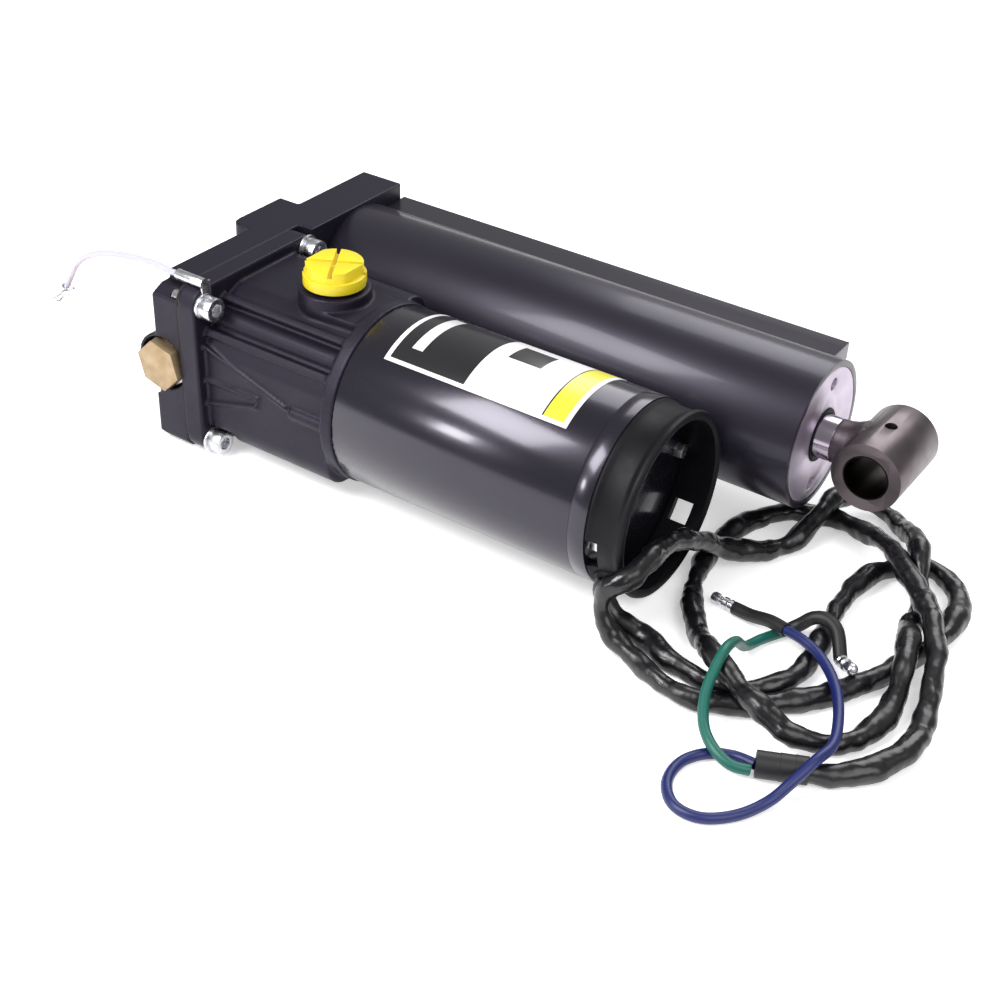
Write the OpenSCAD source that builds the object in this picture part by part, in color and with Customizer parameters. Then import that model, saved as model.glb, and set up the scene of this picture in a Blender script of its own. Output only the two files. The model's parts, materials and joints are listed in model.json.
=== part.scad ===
// Power trim and tilt unit for an outboard motor.
// X runs along the tilt cylinder towards the rod end, Y along the lower pivot, Z up.
// The origin is on the lower pivot, where the cylinder axis crosses it.

/* [Tilt cylinder] */
// Outside radius of the cylinder tube
tube_r = 31; // [29:0.5:34]
// Radius of the cylinder bore
bore_r = 26; // [24:0.5:27]
// Place of the tube's rod end along X
tube_end_x = 259; // [250:1:280]
// Travel of the rod from retracted to fully out
stroke = 150; // [120:1:155]
// Radius of the chromed rod
rod_r = 9; // [7:0.5:10]
// Radius of the threaded end gland
gland_r = 28.2; // [27.5:0.1:28.6]
// Length of the gland's wide threaded part
gland_head_len = 18; // [12:1:24]
// Length of the gland's inner nose
gland_nose_len = 16; // [12:1:20]

/* [Rod eye] */
// Distance from the lower pivot to the eye, rod retracted
eye_x = 286; // [280:1:300]
// Outside radius of the eye barrel
eye_r = 14.3; // [13:0.1:16]
// Radius of the eye's pin bore
eye_bore_r = 8.75; // [7:0.05:9.5]
// Length of the eye barrel along Y
eye_len = 37; // [30:1:44]

/* [Manifold] */
// Place of the manifold's back face along X
manifold_x = 4; // [3:0.5:6]
// Thickness of the manifold where it carries the tube
manifold_t = 22; // [20:0.5:26]
// Height of the manifold's top above the cylinder axis
manifold_top = 32; // [31:0.5:36]
// Depth of the step that seats the reservoir
seat_step = 7.5; // [4:0.5:8.5]
// Radius of the lower pivot's pin bore, in the bushes
pivot_r = 8.75; // [7:0.05:9]
// Wall of the pivot bushes
bush_wall = 1.75; // [1.25:0.25:2]
// Radius of the pivot lugs
lug_r = 15.5; // [14:0.5:17]

/* [Motor] */
// Air gap between the cylinder tube and the motor can
motor_clear = 3; // [2:0.5:6]
// How far the motor axis lies below the cylinder axis
motor_drop = 6; // [4:0.5:8]
// Outside radius of the motor can
can_r = 38; // [37:0.5:39]
// Wall of the motor can
can_wall = 3; // [2:0.25:4]
// Length of the motor can
can_len = 111; // [105:1:120]
// Thickness of the field magnets
magnet_t = 7; // [5:0.5:8]
// Radius of the armature shaft
shaft_r = 4; // [3:0.25:5]
// How far the rubber end boot lies inside the can's outside
boot_step = 1.5; // [0.5:0.5:2.5]
// Depth of the rubber end boot
boot_len = 16; // [12:1:20]

/* [Reservoir] */
// Place of the joint between the reservoir collar and the motor can
collar_x = 99; // [96:1:104]
// Length of the reservoir's round collar
collar_len = 6; // [5:0.5:8]
// Half width of the reservoir body
body_half = 33.5; // [32:0.5:35]
// Wall of the reservoir body
body_wall = 3.5; // [3:0.25:5]
// Thickness of the mounting flange
flange_t = 9; // [6:0.5:10]
// Place of the fill cap along X
cap_x = 71; // [66:0.5:72]
// Radius of the fill cap's skirt
cap_r = 13; // [12:0.25:14]

/* [Fasteners and plugs] */
// Radius of the reservoir screws' shanks
screw_r = 3; // [2.5:0.25:3.5]
// Width across flats of the hexagon plug
plug_af = 20; // [17:0.5:21]

/* [Leads] */
// Diameter of the black sleeve
sleeve_d = 8; // [6:0.5:9]
// Diameter of the coloured leads
lead_d = 4; // [3:0.25:4.5]
// Diameter of the earth lead
earth_d = 2.6; // [2:0.1:3.5]

/* [Hidden] */

// Overrun of cuts, running clearance of fits, gap between pieces of different bodies
eps = 0.5;
fit = 0.06;
gap = 0.3;
round_fn = 96;
small_fn = 48;
coarse_fn = 32;

// Motor axis and the surface that the unit lies on
motor_y = -(tube_r + motor_clear + can_r);
motor_z = -motor_drop;
rest_z = motor_z - can_r - 1;

// Manifold
manifold_front = manifold_x + manifold_t;
seat_x = manifold_front - seat_step;
flange_half = can_r + 0.5;
manifold_near = motor_y - flange_half + 1.2;
manifold_far = tube_r;
shoulder_y = manifold_near + 11;
shoulder_drop = 4;
near_chamfer = 6;
near_chamfer_z = 3;
foot_chamfer = 3;
foot_pad_t = 2;
foot_pad_h = 19;
step_y = motor_y + flange_half + 1;
lug_near = [-49, -16];
lug_far = [16, manifold_far];
lug_block_x = -6.5;
lug_round = 5;
lug_block_foot = 5;
bush_r = pivot_r + bush_wall;
bush_flange_t = 1.5;
trough_r = bush_r + 1.5;
spigot_r = bore_r - 0.1;
spigot_len = 8;
chamber_x = manifold_front + spigot_len;
spool_bore_r = 5.5;
spool_x = manifold_x + 3.3;
spool_z = motor_z - 1;
spool_bore_len = 52;
plug_boss_r = 13.5;
spot_r = plug_boss_r - 1.5;
spot_depth = 4;
gallery_r = 2.5;
port_r = 2;
gallery_z = 20;
port_up = 3;
valve_x = 14;
valve_bore_r = 4;
valve_head_r = 6;
valve_len = 22;
valve_sink = 3;

// Pilot spool, its two ball valves and their seats
spool_r = spool_bore_r - fit;
spool_neck_r = 3;
spool_len = 17;
spool_mid_y = manifold_near + 30.5;
land_len = 5;
pin_r = 1.6;
pin_len = 1.5;
check_ball_r = 3;
seat_t = 2;
seat_hole_r = 2.2;
seat_near_y = spool_mid_y - 11.5;
seat_far_y = spool_mid_y + 11.5;
ball_rise = sqrt(pow(check_ball_r, 2) - pow(seat_hole_r, 2)) + 0.05;

// Hexagon plug
plug_head_t = 6;
plug_washer_r = spot_r - 1;
plug_washer_t = 1.5;
plug_shank = 6;
hex_share = 1 / cos(30);

// Reservoir
gasket_t = 1;
flange_x = seat_x + gasket_t;
flange_front = flange_x + flange_t;
flange_corner_r = 8;
body_corner_r = 12;
oil_r = body_half - body_wall;
collar_r = can_r + 0.6;
collar_start = collar_x - collar_len;
rib_t = 3.4;
rib_top_r = can_r + 0.2;
top_rib_angle = 124;
side_rib_angle = 149;
bulge_angle = 136;
bulge_r = 5;
bulge_place_r = 32;
thin_rib_t = 1.6;
thin_rib_out = 1.4;
wall_root = 5;
wall_ribs = [[7, 44, -7], [-9, 29, -8], [-20, 28, -12]];
side_bar_off = 46;
side_bar_z = -8;
near_wall_y = motor_y - body_half;
boss_r = 15;
boss_top = boss_r + 20;
neck_r = 8.3;
pad_half = 14;
pad_top = boss_top - 5;
plate_seat_x = collar_x - 8;
plate_rim_x = collar_x - 4.5;
round_r = oil_r + 5;
plate_r = can_r - can_wall + 0.4;

// Reservoir screws: place across and up from the motor axis
screw_half = flange_half - 6;
near_screw_drop = 1.5;
screw_places = [[-screw_half, screw_half - near_screw_drop], [-screw_half, -screw_half],
    [screw_half, screw_half], [screw_half, -screw_half]];
screw_head_r = 5;
screw_head_len = 6;
screw_len = 16;
screw_socket_r = 2.6;
socket_depth = 3.5;
washer_r = 6;
washer_t = 1.2;

// Fill cap
cap_seal_t = 1.5;
cap_bottom = boss_top + cap_seal_t;
cap_skirt_h = 4.5;
cap_top_r = cap_r - 1.2;
cap_top_h = 4.5;
cap_flat = cap_top_r - 1.4;
cap_plug_r = neck_r - gap;
cap_plug_len = 9;
cap_slot_w = 1.8;
cap_slot_depth = 2.4;
cap_notch_w = 2.6;

// Gear pump
pump_r = oil_r - 4;
pump_floor_t = 5;
gear_len = 10;
gear_x = flange_x - gasket_t + pump_floor_t;
gear_gap = 0.1;
teeth = 10;
gear_pitch_r = 7.5;
gear_tip_r = gear_pitch_r + 1.3;
gear_root_r = gear_pitch_r - 1.6;
gear_bore_r = gear_tip_r + 0.3;
tooth_root_deg = 10;
tooth_pitch_deg = 7;
tooth_tip_deg = 3.2;
driven_y = motor_y + 2 * gear_pitch_r;
pump_cover_x = gear_x + gear_len + 2 * gear_gap;
pump_cover_t = 8;
pump_shaft_end = 69;
pump_screw_ring_r = pump_r - 5;
pump_screw_r = 2;
pump_screw_head_r = 3.5;
pump_screw_head_len = 3;
pump_screw_angles = [45, 135, 225, 315];
filter_r = oil_r - 1.6;
filter_wall = 0.8;
filter_len = 24;
filter_slot_w = 2;
filter_slots = 16;
coupling_r = 7.5;
coupling_x = 60;
coupling_len = 20;
coupling_groove = 2;

// Motor
can_end_x = collar_x + can_len;
bell_len = 7;
bell_end = can_end_x + bell_len;
bell_wall = 4;
plate_t = 8;
plate_spigot = 3;
bearing_r = 11;
bearing_len = 7;
bearing_x = collar_x - plate_t + 3;
rear_bearing_x = can_end_x - 4;
rear_bearing_len = 6;
ball_r = 2;
seal_r = 8;
seal_len = 3;
armature_x = 71;
armature_end = rear_bearing_x + rear_bearing_len;
magnet_gap = 1;
magnet_r = can_r - can_wall;
magnet_inner_r = magnet_r - magnet_t;
core_r = magnet_inner_r - magnet_gap;
core_x = collar_x + 19;
core_len = can_len - 53;
core_slots = 12;
slot_w = 3;
slot_depth = 12;
winding_len = 9;
winding_r = core_r - 3;
winding_inner_r = 9;
commutator_x = core_x + core_len + winding_len + 2;
commutator_r = 12;
commutator_len = 15;
commutator_cuts = 12;
magnet_x = core_x - 4;
magnet_len = core_len + 8;
magnet_deg = 130;
holder_x = commutator_x + 10;
holder_t = 3;
holder_hole_r = commutator_r + 3;
brush_w = 7;
brush_t = 5;
brush_len = 9;
brush_x = holder_x - brush_w;
spring_r = 2.4;
spring_wire_r = 0.5;
spring_turns = 4;
spring_pitch = 2;
boot_r = can_r - boot_step;
boot_wall = 2.5;
bolt_angles = [8, 192];
bolt_r = 2;
bolt_head_r = 3.4;
bolt_head_len = 3.5;
bolt_ring_r = boot_r - boot_wall - bolt_head_r - gap;
boot_end = bell_end + boot_len;
boot_lip = 1.2;
boot_notch_w = 13;
exit_angle = 213;
exit_r = 5;
drain_angle = 322;
drain_w = 9;
grommet_len = 5;

// Label place on the can: a plain curved plate
label_x = [collar_x + 14, can_end_x - 13];
label_t = 0.25;
label_from = 56;
label_to = 125;

// Tilt cylinder
mouth_r = gland_r + 0.1;
nose_r = bore_r - 0.1;
gland_x = tube_end_x - gland_head_len;
gland_nose_x = gland_x - gland_nose_len;
rib_y = [18.5, 33.5];
rib_z = [8, 24.5];
rib_end_x = tube_end_x - 7.5;
gallery_y = 27;
gallery_up = 17;
port_x = gland_nose_x - 5;
pin_hole_r = 2.6;
pin_hole_ring_r = 21.5;
pin_hole_depth = 8;
pin_hole_angles = [79, 259];
wiper_r = rod_r + 2.2;
wiper_len = 4;
ring_w = 3.2;
ring_t = 2.4;
nose_ring_x = gland_nose_x + 5;
seal_x = gland_x - 6;

// Free piston, ram piston and rod
slack = 0.3;
free_x = chamber_x + slack;
free_len = 11;
piston_x = free_x + free_len + slack + 0.4;
piston_len = 28;
piston_front = piston_x + piston_len;
piston_r = bore_r - fit;
spigot_rod_r = rod_r - 2;
nut_pocket_r = 13;
nut_pocket = 10;
nut_af = 20;
nut_len = 8;
nut_x = piston_x + nut_pocket - nut_len;
shock_ring_r = 19.5;
shock_ball_r = 2.4;
shock_bore_r = shock_ball_r + 0.15;
shock_seat_r = 1.6;
shock_x = piston_x + nut_pocket + 4;
shock_angles = [30, 150, 270];
eye_neck_len = 20;
eye_socket = 8;
neck_flare = 3;
grease_r = 2.5;

// Earth lead and its terminals
terminal_t = 1;
terminal_hole_r = screw_r + 0.2;
terminal_r = 5.5;
crimp_r = 2.2;
crimp_len = 12;
earth_top = motor_z + flange_half + crimp_r + gap;
earth_points = [[15, -104, 35], [11.1, -104, 34.9], [6.7, -104, 35.3], [2.1, -104, 35.7], [-4.6, -104, 35.4],
    [-11.1, -104, 34.7], [-18, -104, 33.5], [-24.7, -104, 32.1], [-30.5, -104, 30.3], [-35.4, -104, 28.1],
    [-39.8, -104, 25.5], [-43.8, -104, 22.3], [-46.9, -104, 18.7], [-49.3, -104, 14.6],
    [-51.6, -104, 10.9], [-53.5, -104, 7.7]];
ring_r = 6.5;
ring_hole_r = 3.2;
ring_face = [0.73, -0.08, -0.68];
ring_off = [2.3, -3.5, 2.8];

// Route of the black sleeve, from the boot to the taped end
sleeve_points = [[225, -103.5, -26.4], [226.5, -106.5, -31], [232, -107, -37.5], [243, -106.5, -41],
    [258, -112.5, -41], [273, -115.5, -41], [287, -111, -41], [297, -99, -41], [299.5, -83, -41],
    [297.5, -66, -41], [294.5, -49, -41], [294, -33, -41], [296.5, -18, -41], [304, -5.5, -41],
    [315, -1.5, -41], [326, -8, -41], [332.5, -21, -41], [334, -36, -41], [331, -54, -41],
    [325, -72, -41], [317, -89, -41], [305.5, -104.5, -41], [292.3, -117.6, -41], [277, -125.5, -41],
    [262, -125, -41], [248, -119, -41], [237, -116.5, -38], [230.5, -115.5, -30], [230.5, -114.5, -21],
    [236.5, -111, -15], [239.5, -100, -12.5], [238.5, -85, -14.5], [238.7, -69, -20.5],
    [241.5, -53, -30], [248, -40, -38], [257, -28.5, -41], [262.5, -15, -39.5], [265, -1, -33.6],
    [266, 11, -32.6], [271.5, 23, -37.5], [282, 25, -41], [292, 17, -40], [301, 5, -33.8],
    [309, -6, -32.6], [316, -19, -39.3], [320, -31, -41], [322.5, -44.5, -39.5], [327, -58, -32.8],
    [331, -72, -33.8], [334, -88, -41], [333, -104, -41], [325.5, -118.5, -40.8], [313, -126, -37],
    [299, -124, -33], [284.5, -116.5, -32.5], [271, -107, -33.5], [259, -93.5, -39.5],
    [248.5, -78, -41], [241, -61, -41], [237.3, -44, -41], [237.5, -27, -41], [243, -10, -41],
    [254, 3, -41], [269, 7, -41], [284, 1, -37.5], [297, -8.5, -33], [309, -20, -32.3],
    [320, -31.5, -32.3], [329.5, -43.5, -32.5], [337, -58, -33], [343, -74, -37.3],
    [347.5, -91, -41], [347.5, -107, -41], [341, -122, -41], [329, -133.5, -41], [314, -141, -41]];
tape_from = [325, -136, -40];
tape_to = [309, -143.5, -40];
tape_r = sleeve_d / 2 + 1;

// Routes of the two leads, their heat-shrink tubes and their bullet terminals
green_points = [[308.3, -145.4, -42], [302, -148, -41], [294, -146, -39], [287, -140, -37], [282, -131, -33.3],
    [280, -122, -29.3], [279, -112, -26], [278, -101, -30], [277, -90, -40], [279, -79, -42.7],
    [284, -70, -42.4]];
blue_points = [[308.3, -141.7, -42], [300, -141.5, -43], [292, -146, -43], [287, -155, -43], [288, -166, -43],
    [295, -174, -43], [305, -174, -43], [314, -166, -43], [320, -155, -42], [324, -146, -37.5],
    [327, -136, -34], [328, -125, -34.5], [324, -112, -35], [318, -100, -35], [311, -91, -34.8],
    [303, -84, -34.8], [295, -80, -34.8], [287, -77, -36]];
shrink_d = lead_d + 1.2;
green_shrink = [[284, -70, -42.4], [288, -66.5, -39.5], [292, -65.3, -35.3], [297, -65, -33.6], [303, -68, -34.5],
    [309, -76, -40]];
blue_shrink = [[287, -77, -36], [279, -74, -37.5], [270, -71, -41], [262, -69, -42.4]];
green_bullet = [[309, -76, -40], [318, -87, -33]];
blue_bullet = [[262, -69, -42.4], [251.4, -67.4, -42.4]];
bullet_r = 2.4;
bullet_neck_r = 1.5;

// Vector helpers and the tube sweep
function unit(v) = v / norm(v);
function tangent(p, i) = unit(p[min(i + 1, len(p) - 1)] - p[max(i - 1, 0)]);
function square_to(v, t) = unit(v - (v * t) * t);
function frames(p, i = 0, last = [0, 0, 1]) = i == len(p) ? [] :
    let (t = tangent(p, i), n = square_to(abs(last * t) > 0.98 ? [0, 1, 0] : last, t))
    concat([[n, cross(t, n)]], frames(p, i + 1, n));
function ring(c, f, r, sides) = [for (k = [0:sides - 1])
    c + r * (cos(360 * k / sides) * f[0] + sin(360 * k / sides) * f[1])];

module sweep_tube(p, r, sides) {
    f = frames(p);
    points = [for (i = [0:len(p) - 1]) each ring(p[i], f[i], r, sides)];
    walls = [for (i = [0:len(p) - 2], k = [0:sides - 1])
        let (a = i * sides + k, b = i * sides + (k + 1) % sides)
        each [[a, a + sides, b + sides], [a, b + sides, b]]];
    first = [for (k = [0:sides - 1]) k];
    last = [for (k = [sides - 1:-1:0]) (len(p) - 1) * sides + k];
    polyhedron(points, concat(walls, [first, last]), convexity = 8);
}

// A cylinder that runs along X, Y or between two points
module rod_x(x0, x1, r, y = 0, z = 0, fn = round_fn) {
    translate([x0, y, z]) rotate([0, 90, 0]) cylinder(h = x1 - x0, r = r, $fn = fn);
}
module rod_y(y0, y1, r, x = 0, z = 0, fn = round_fn) {
    translate([x, y0, z]) rotate([-90, 0, 0]) cylinder(h = y1 - y0, r = r, $fn = fn);
}
module ring_x(x0, x1, r_out, r_in, y = 0, z = 0) {
    difference() {
        rod_x(x0, x1, r_out, y, z);
        rod_x(x0 - eps, x1 + eps, r_in, y, z);
    }
}
module between(a, b) {
    v = b - a;
    translate(a) rotate([0, acos(v[2] / norm(v)), atan2(v[1], v[0])]) children();
}
module at_motor() {
    translate([0, motor_y, motor_z]) children();
}
// An outline in Y and Z, pushed along X
module plate_x(x0, x1) {
    translate([x0, 0, 0]) rotate([90, 0, 90]) linear_extrude(x1 - x0) children();
}
module hex_x(x0, x1, af, y = 0, z = 0) {
    translate([x0, y, z]) rotate([0, 90, 0]) cylinder(h = x1 - x0, r = af / 2 * hex_share, $fn = 6);
}

// Manifold and its valves
module manifold_outline() {
    polygon([[manifold_far, rest_z + foot_chamfer], [manifold_far, manifold_top],
        [shoulder_y, manifold_top], [shoulder_y, manifold_top - shoulder_drop],
        [manifold_near + near_chamfer, manifold_top - shoulder_drop],
        [manifold_near, manifold_top - shoulder_drop - near_chamfer_z],
        [manifold_near, rest_z + foot_chamfer], [manifold_near + foot_chamfer, rest_z],
        [manifold_far - foot_chamfer, rest_z]]);
}
module lug(y0, y1) {
    rod_y(y0, y1, lug_r);
    translate([0, y0, -lug_r]) cube([manifold_x + eps, y1 - y0, 2 * lug_r]);
}
// The raised block over the near lug, with a round upright corner
module lug_block() {
    x1 = manifold_x + eps;
    h = manifold_top - lug_block_foot;
    translate([lug_block_x, lug_near[0] + lug_round, lug_block_foot])
        cube([x1 - lug_block_x, lug_near[1] - lug_near[0] - lug_round, h]);
    translate([lug_block_x + lug_round, lug_near[0], lug_block_foot])
        cube([x1 - lug_block_x - lug_round, 2 * lug_round, h]);
    translate([lug_block_x + lug_round, lug_near[0] + lug_round, lug_block_foot])
        cylinder(h = h, r = lug_round, $fn = small_fn);
}
module manifold() {
    color("#2b2a30") difference() {
        union() {
            difference() {
                union() {
                    plate_x(manifold_x, manifold_front) manifold_outline();
                    rod_y(manifold_near, manifold_near + spool_bore_len + 3, plug_boss_r, spool_x, spool_z);
                    translate([manifold_x - foot_pad_t, manifold_near, rest_z + foot_chamfer])
                        cube([foot_pad_t + eps, spool_bore_len, foot_pad_h]);
                }
                translate([seat_x, manifold_near - eps, rest_z - eps])
                    cube([seat_step + eps, step_y - manifold_near + eps, manifold_top - rest_z + 2 * eps]);
            }
            rod_x(manifold_front - eps, chamber_x, spigot_r);
            lug(lug_near[0], lug_near[1]);
            lug(lug_far[0], lug_far[1]);
            lug_block();
        }
        rod_y(lug_near[0] - eps, lug_far[1] + eps, bush_r);
        rod_y(lug_near[1], lug_far[0], trough_r);
        rod_y(manifold_near - eps, manifold_near + spool_bore_len, spool_bore_r, spool_x, spool_z);
        rod_y(manifold_near - eps, manifold_near + spot_depth, spot_r, spool_x, spool_z);
        rod_y(motor_y, 2 * port_r, gallery_r, valve_x, gallery_z, small_fn);
        rod_x(valve_x, chamber_x + eps, port_r, 0, gallery_z, small_fn);
        rod_x(valve_x, manifold_front + eps, gallery_r, gallery_y, gallery_up, small_fn);
        rod_x(spool_x, seat_x + eps, port_r, motor_y - gear_pitch_r, motor_z + port_up, small_fn);
        rod_y(manifold_far - valve_len, manifold_far + eps, valve_bore_r, valve_x, -gallery_z, small_fn);
        rod_y(manifold_far - valve_sink, manifold_far + eps, valve_head_r + eps, valve_x, -gallery_z, small_fn);
        for (p = screw_places)
            rod_x(flange_front - screw_len, seat_x + eps, screw_r, motor_y + p[0], motor_z + p[1], small_fn);
        for (a = pump_screw_angles)
            rod_x(seat_x - 2 * pump_screw_r, seat_x + eps, pump_screw_r,
                motor_y + pump_screw_ring_r * cos(a), motor_z + pump_screw_ring_r * sin(a), small_fn);
    }
}
module bush(y0, y1) {
    difference() {
        rod_y(y0, y1, bush_r);
        rod_y(y0 - eps, y1 + eps, pivot_r);
    }
}
module pivot_bushes() {
    color("#c9c2a6") {
        bush(lug_near[0], lug_near[1]);
        bush(lug_far[0], lug_far[1]);
    }
}
module pilot_spool() {
    y0 = spool_mid_y - spool_len / 2;
    y1 = spool_mid_y + spool_len / 2;
    color("#b8bcc2") {
        rod_y(y0, y0 + land_len, spool_r, spool_x, spool_z);
        rod_y(y0 + land_len - eps, y1 - land_len + eps, spool_neck_r, spool_x, spool_z);
        rod_y(y1 - land_len, y1, spool_r, spool_x, spool_z);
        rod_y(y0 - pin_len, y1 + pin_len, pin_r, spool_x, spool_z, small_fn);
    }
}
module valve_seat(y) {
    difference() {
        rod_y(y, y + seat_t, spool_bore_r, spool_x, spool_z);
        rod_y(y - eps, y + seat_t + eps, seat_hole_r, spool_x, spool_z, small_fn);
    }
}
module valve_seats() {
    color("#c9a24e") {
        valve_seat(seat_near_y - seat_t);
        valve_seat(seat_far_y);
    }
}
module check_ball(y) {
    color("#d6d8dc") translate([spool_x, y, spool_z]) sphere(check_ball_r, $fn = small_fn);
}
module check_ball_near() {
    check_ball(seat_near_y - seat_t - ball_rise);
}
module check_ball_far() {
    check_ball(seat_far_y + seat_t + ball_rise);
}
module spool_plug() {
    y0 = manifold_near + spot_depth - plug_washer_t;
    color("#d9bd8a") {
        translate([spool_x, y0 - plug_head_t, spool_z]) rotate([-90, 0, 0])
            rotate([0, 0, 15]) cylinder(h = plug_head_t, r = plug_af / 2 * hex_share, $fn = 6);
        rod_y(y0 - eps, manifold_near + spot_depth + plug_shank, spool_bore_r, spool_x, spool_z);
    }
}
module plug_washer() {
    y0 = manifold_near + spot_depth;
    color("#c8c9cc") difference() {
        rod_y(y0 - plug_washer_t, y0, plug_washer_r, spool_x, spool_z);
        rod_y(y0 - plug_washer_t - eps, y0 + eps, spool_bore_r, spool_x, spool_z);
    }
}
module release_valve() {
    y1 = manifold_far - 1;
    color("#c8c9cc") difference() {
        union() {
            rod_y(manifold_far - valve_sink + gap, y1, valve_head_r, valve_x, -gallery_z);
            rod_y(manifold_far - valve_len + 2, y1 - eps, valve_bore_r - fit, valve_x, -gallery_z);
        }
        translate([valve_x - valve_head_r - eps, y1 - 1, -gallery_z - cap_slot_w / 2])
            cube([2 * valve_head_r + 2 * eps, 2, cap_slot_w]);
    }
}

// Reservoir
module rounded_square_x(x0, x1, half, r) {
    translate([x0, -half + r, -half]) cube([x1 - x0, 2 * (half - r), 2 * half]);
    translate([x0, -half, -half + r]) cube([x1 - x0, 2 * half, 2 * (half - r)]);
    for (y = [-1, 1], z = [-1, 1])
        rod_x(x0, x1, r, y * (half - r), z * (half - r), small_fn);
}
module radial_rib(angle, x0, x1, r0, r1, t) {
    rotate([angle, 0, 0]) translate([x0, r0, -t / 2]) cube([x1 - x0, r1 - r0, t]);
}
// A thin rib on the near wall between two places in X and Z
module wall_rib(a, b) {
    v = b - a;
    translate([a[0], near_wall_y - thin_rib_out, a[1]]) rotate([0, -atan2(v[1], v[0]), 0])
        translate([0, 0, -thin_rib_t / 2]) cube([norm(v), thin_rib_out + wall_root, thin_rib_t]);
}
module reservoir() {
    color("#2b2a30") difference() {
        union() {
            at_motor() {
                rounded_square_x(flange_x, flange_front, flange_half, flange_corner_r);
                difference() {
                    rounded_square_x(flange_front - eps, collar_start + eps, body_half, body_corner_r);
                    difference() {
                        translate([flange_front, -flange_half, 0]) cube([can_len, flange_half, flange_half]);
                        rod_x(0, can_len, round_r);
                    }
                }
                rod_x(collar_start, collar_x, collar_r);
                radial_rib(top_rib_angle, flange_front, collar_start, oil_r + 1, rib_top_r, rib_t);
                radial_rib(side_rib_angle, flange_front, collar_start, oil_r + 1, rib_top_r, rib_t);
                rod_x(flange_front, collar_start, bulge_r, bulge_place_r * cos(bulge_angle),
                    bulge_place_r * sin(bulge_angle), small_fn);
            }
            translate([cap_x, motor_y, 0]) cylinder(h = boss_top, r = boss_r, $fn = round_fn);
            linear_extrude(pad_top) polygon([[cap_x, motor_y - boss_r], [collar_start + eps, motor_y - pad_half],
                [collar_start + eps, motor_y + pad_half], [cap_x, motor_y + boss_r]]);
            for (w = wall_ribs)
                wall_rib([flange_front, w[0]], [flange_front + w[1], w[2]]);
            rod_x(flange_front + side_bar_off, collar_start, 2 * thin_rib_out, near_wall_y, side_bar_z, small_fn);
        }
        at_motor() {
            rod_x(flange_x - eps, plate_rim_x + eps, oil_r);
            rod_x(plate_rim_x, collar_x + eps, plate_r);
            for (p = screw_places)
                rod_x(flange_x - eps, flange_front + eps, screw_r + 0.2, p[0], p[1], small_fn);
            for (p = screw_places)
                rod_x(flange_front, flange_front + 2 * screw_head_len, washer_r + 0.8, p[0], p[1], small_fn);
        }
        translate([cap_x, motor_y, 0]) cylinder(h = boss_top + eps, r = neck_r, $fn = round_fn);
    }
}
module reservoir_gasket() {
    color("#3a3733") at_motor() difference() {
        rounded_square_x(seat_x, flange_x, flange_half - 0.3, flange_corner_r - 0.3);
        rod_x(seat_x - eps, flange_x + eps, oil_r);
        for (p = screw_places)
            rod_x(seat_x - eps, flange_x + eps, screw_r + 0.2, p[0], p[1], small_fn);
    }
}
module reservoir_screws() {
    head_x = flange_front + washer_t;
    color("#d4d6da") at_motor() for (p = screw_places) difference() {
        union() {
            rod_x(head_x, head_x + screw_head_len, screw_head_r, p[0], p[1], small_fn);
            rod_x(flange_front - screw_len + 1, head_x + eps, screw_r, p[0], p[1], small_fn);
        }
        hex_x(head_x + screw_head_len - socket_depth, head_x + screw_head_len + eps, 2 * screw_socket_r, p[0], p[1]);
    }
}
module reservoir_washers() {
    color("#c8c9cc") at_motor() for (i = [1:len(screw_places) - 1]) {
        p = screw_places[i];
        ring_x(flange_front, flange_front + washer_t, washer_r, screw_r + 0.1, p[0], p[1]);
    }
}
module fill_cap() {
    top_z = cap_bottom + cap_skirt_h;
    color("#f2e23a") translate([cap_x, motor_y, 0]) difference() {
        union() {
            translate([0, 0, cap_bottom]) cylinder(h = cap_skirt_h, r = cap_r, $fn = round_fn);
            intersection() {
                translate([0, 0, top_z - eps]) cylinder(h = cap_top_h + eps, r = cap_top_r, $fn = round_fn);
                translate([-cap_flat, -cap_r, top_z - eps]) cube([2 * cap_flat, 2 * cap_r, cap_top_h + eps]);
            }
            translate([0, 0, cap_bottom - cap_plug_len])
                cylinder(h = cap_plug_len + eps, r = cap_plug_r, $fn = round_fn);
        }
        for (a = [30, 120]) rotate([0, 0, a])
            translate([-cap_r, -cap_slot_w / 2, top_z + cap_top_h - cap_slot_depth])
                cube([2 * cap_r, cap_slot_w, cap_slot_depth + eps]);
        for (a = [30, 210]) rotate([0, 0, a])
            translate([cap_r - cap_notch_w / 2, -cap_notch_w / 2, cap_bottom - eps])
                cube([cap_notch_w, cap_notch_w, cap_skirt_h + cap_top_h]);
    }
}
module cap_seal() {
    color("#1c1c1e") translate([cap_x, motor_y, boss_top]) difference() {
        cylinder(h = cap_seal_t, r = cap_r - 1, $fn = round_fn);
        translate([0, 0, -eps]) cylinder(h = cap_seal_t + 2 * eps, r = neck_r + gap, $fn = round_fn);
    }
}
module suction_filter() {
    x0 = seat_x;
    color("#b9b29a") at_motor() difference() {
        ring_x(x0, x0 + filter_len, filter_r, filter_r - filter_wall);
        for (k = [0:filter_slots / 2 - 1]) rotate([k * 360 / filter_slots, 0, 0])
            translate([x0 + 4, -filter_r - eps, -filter_slot_w / 2])
                cube([filter_len - 8, 2 * filter_r + 2 * eps, filter_slot_w]);
    }
}

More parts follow.
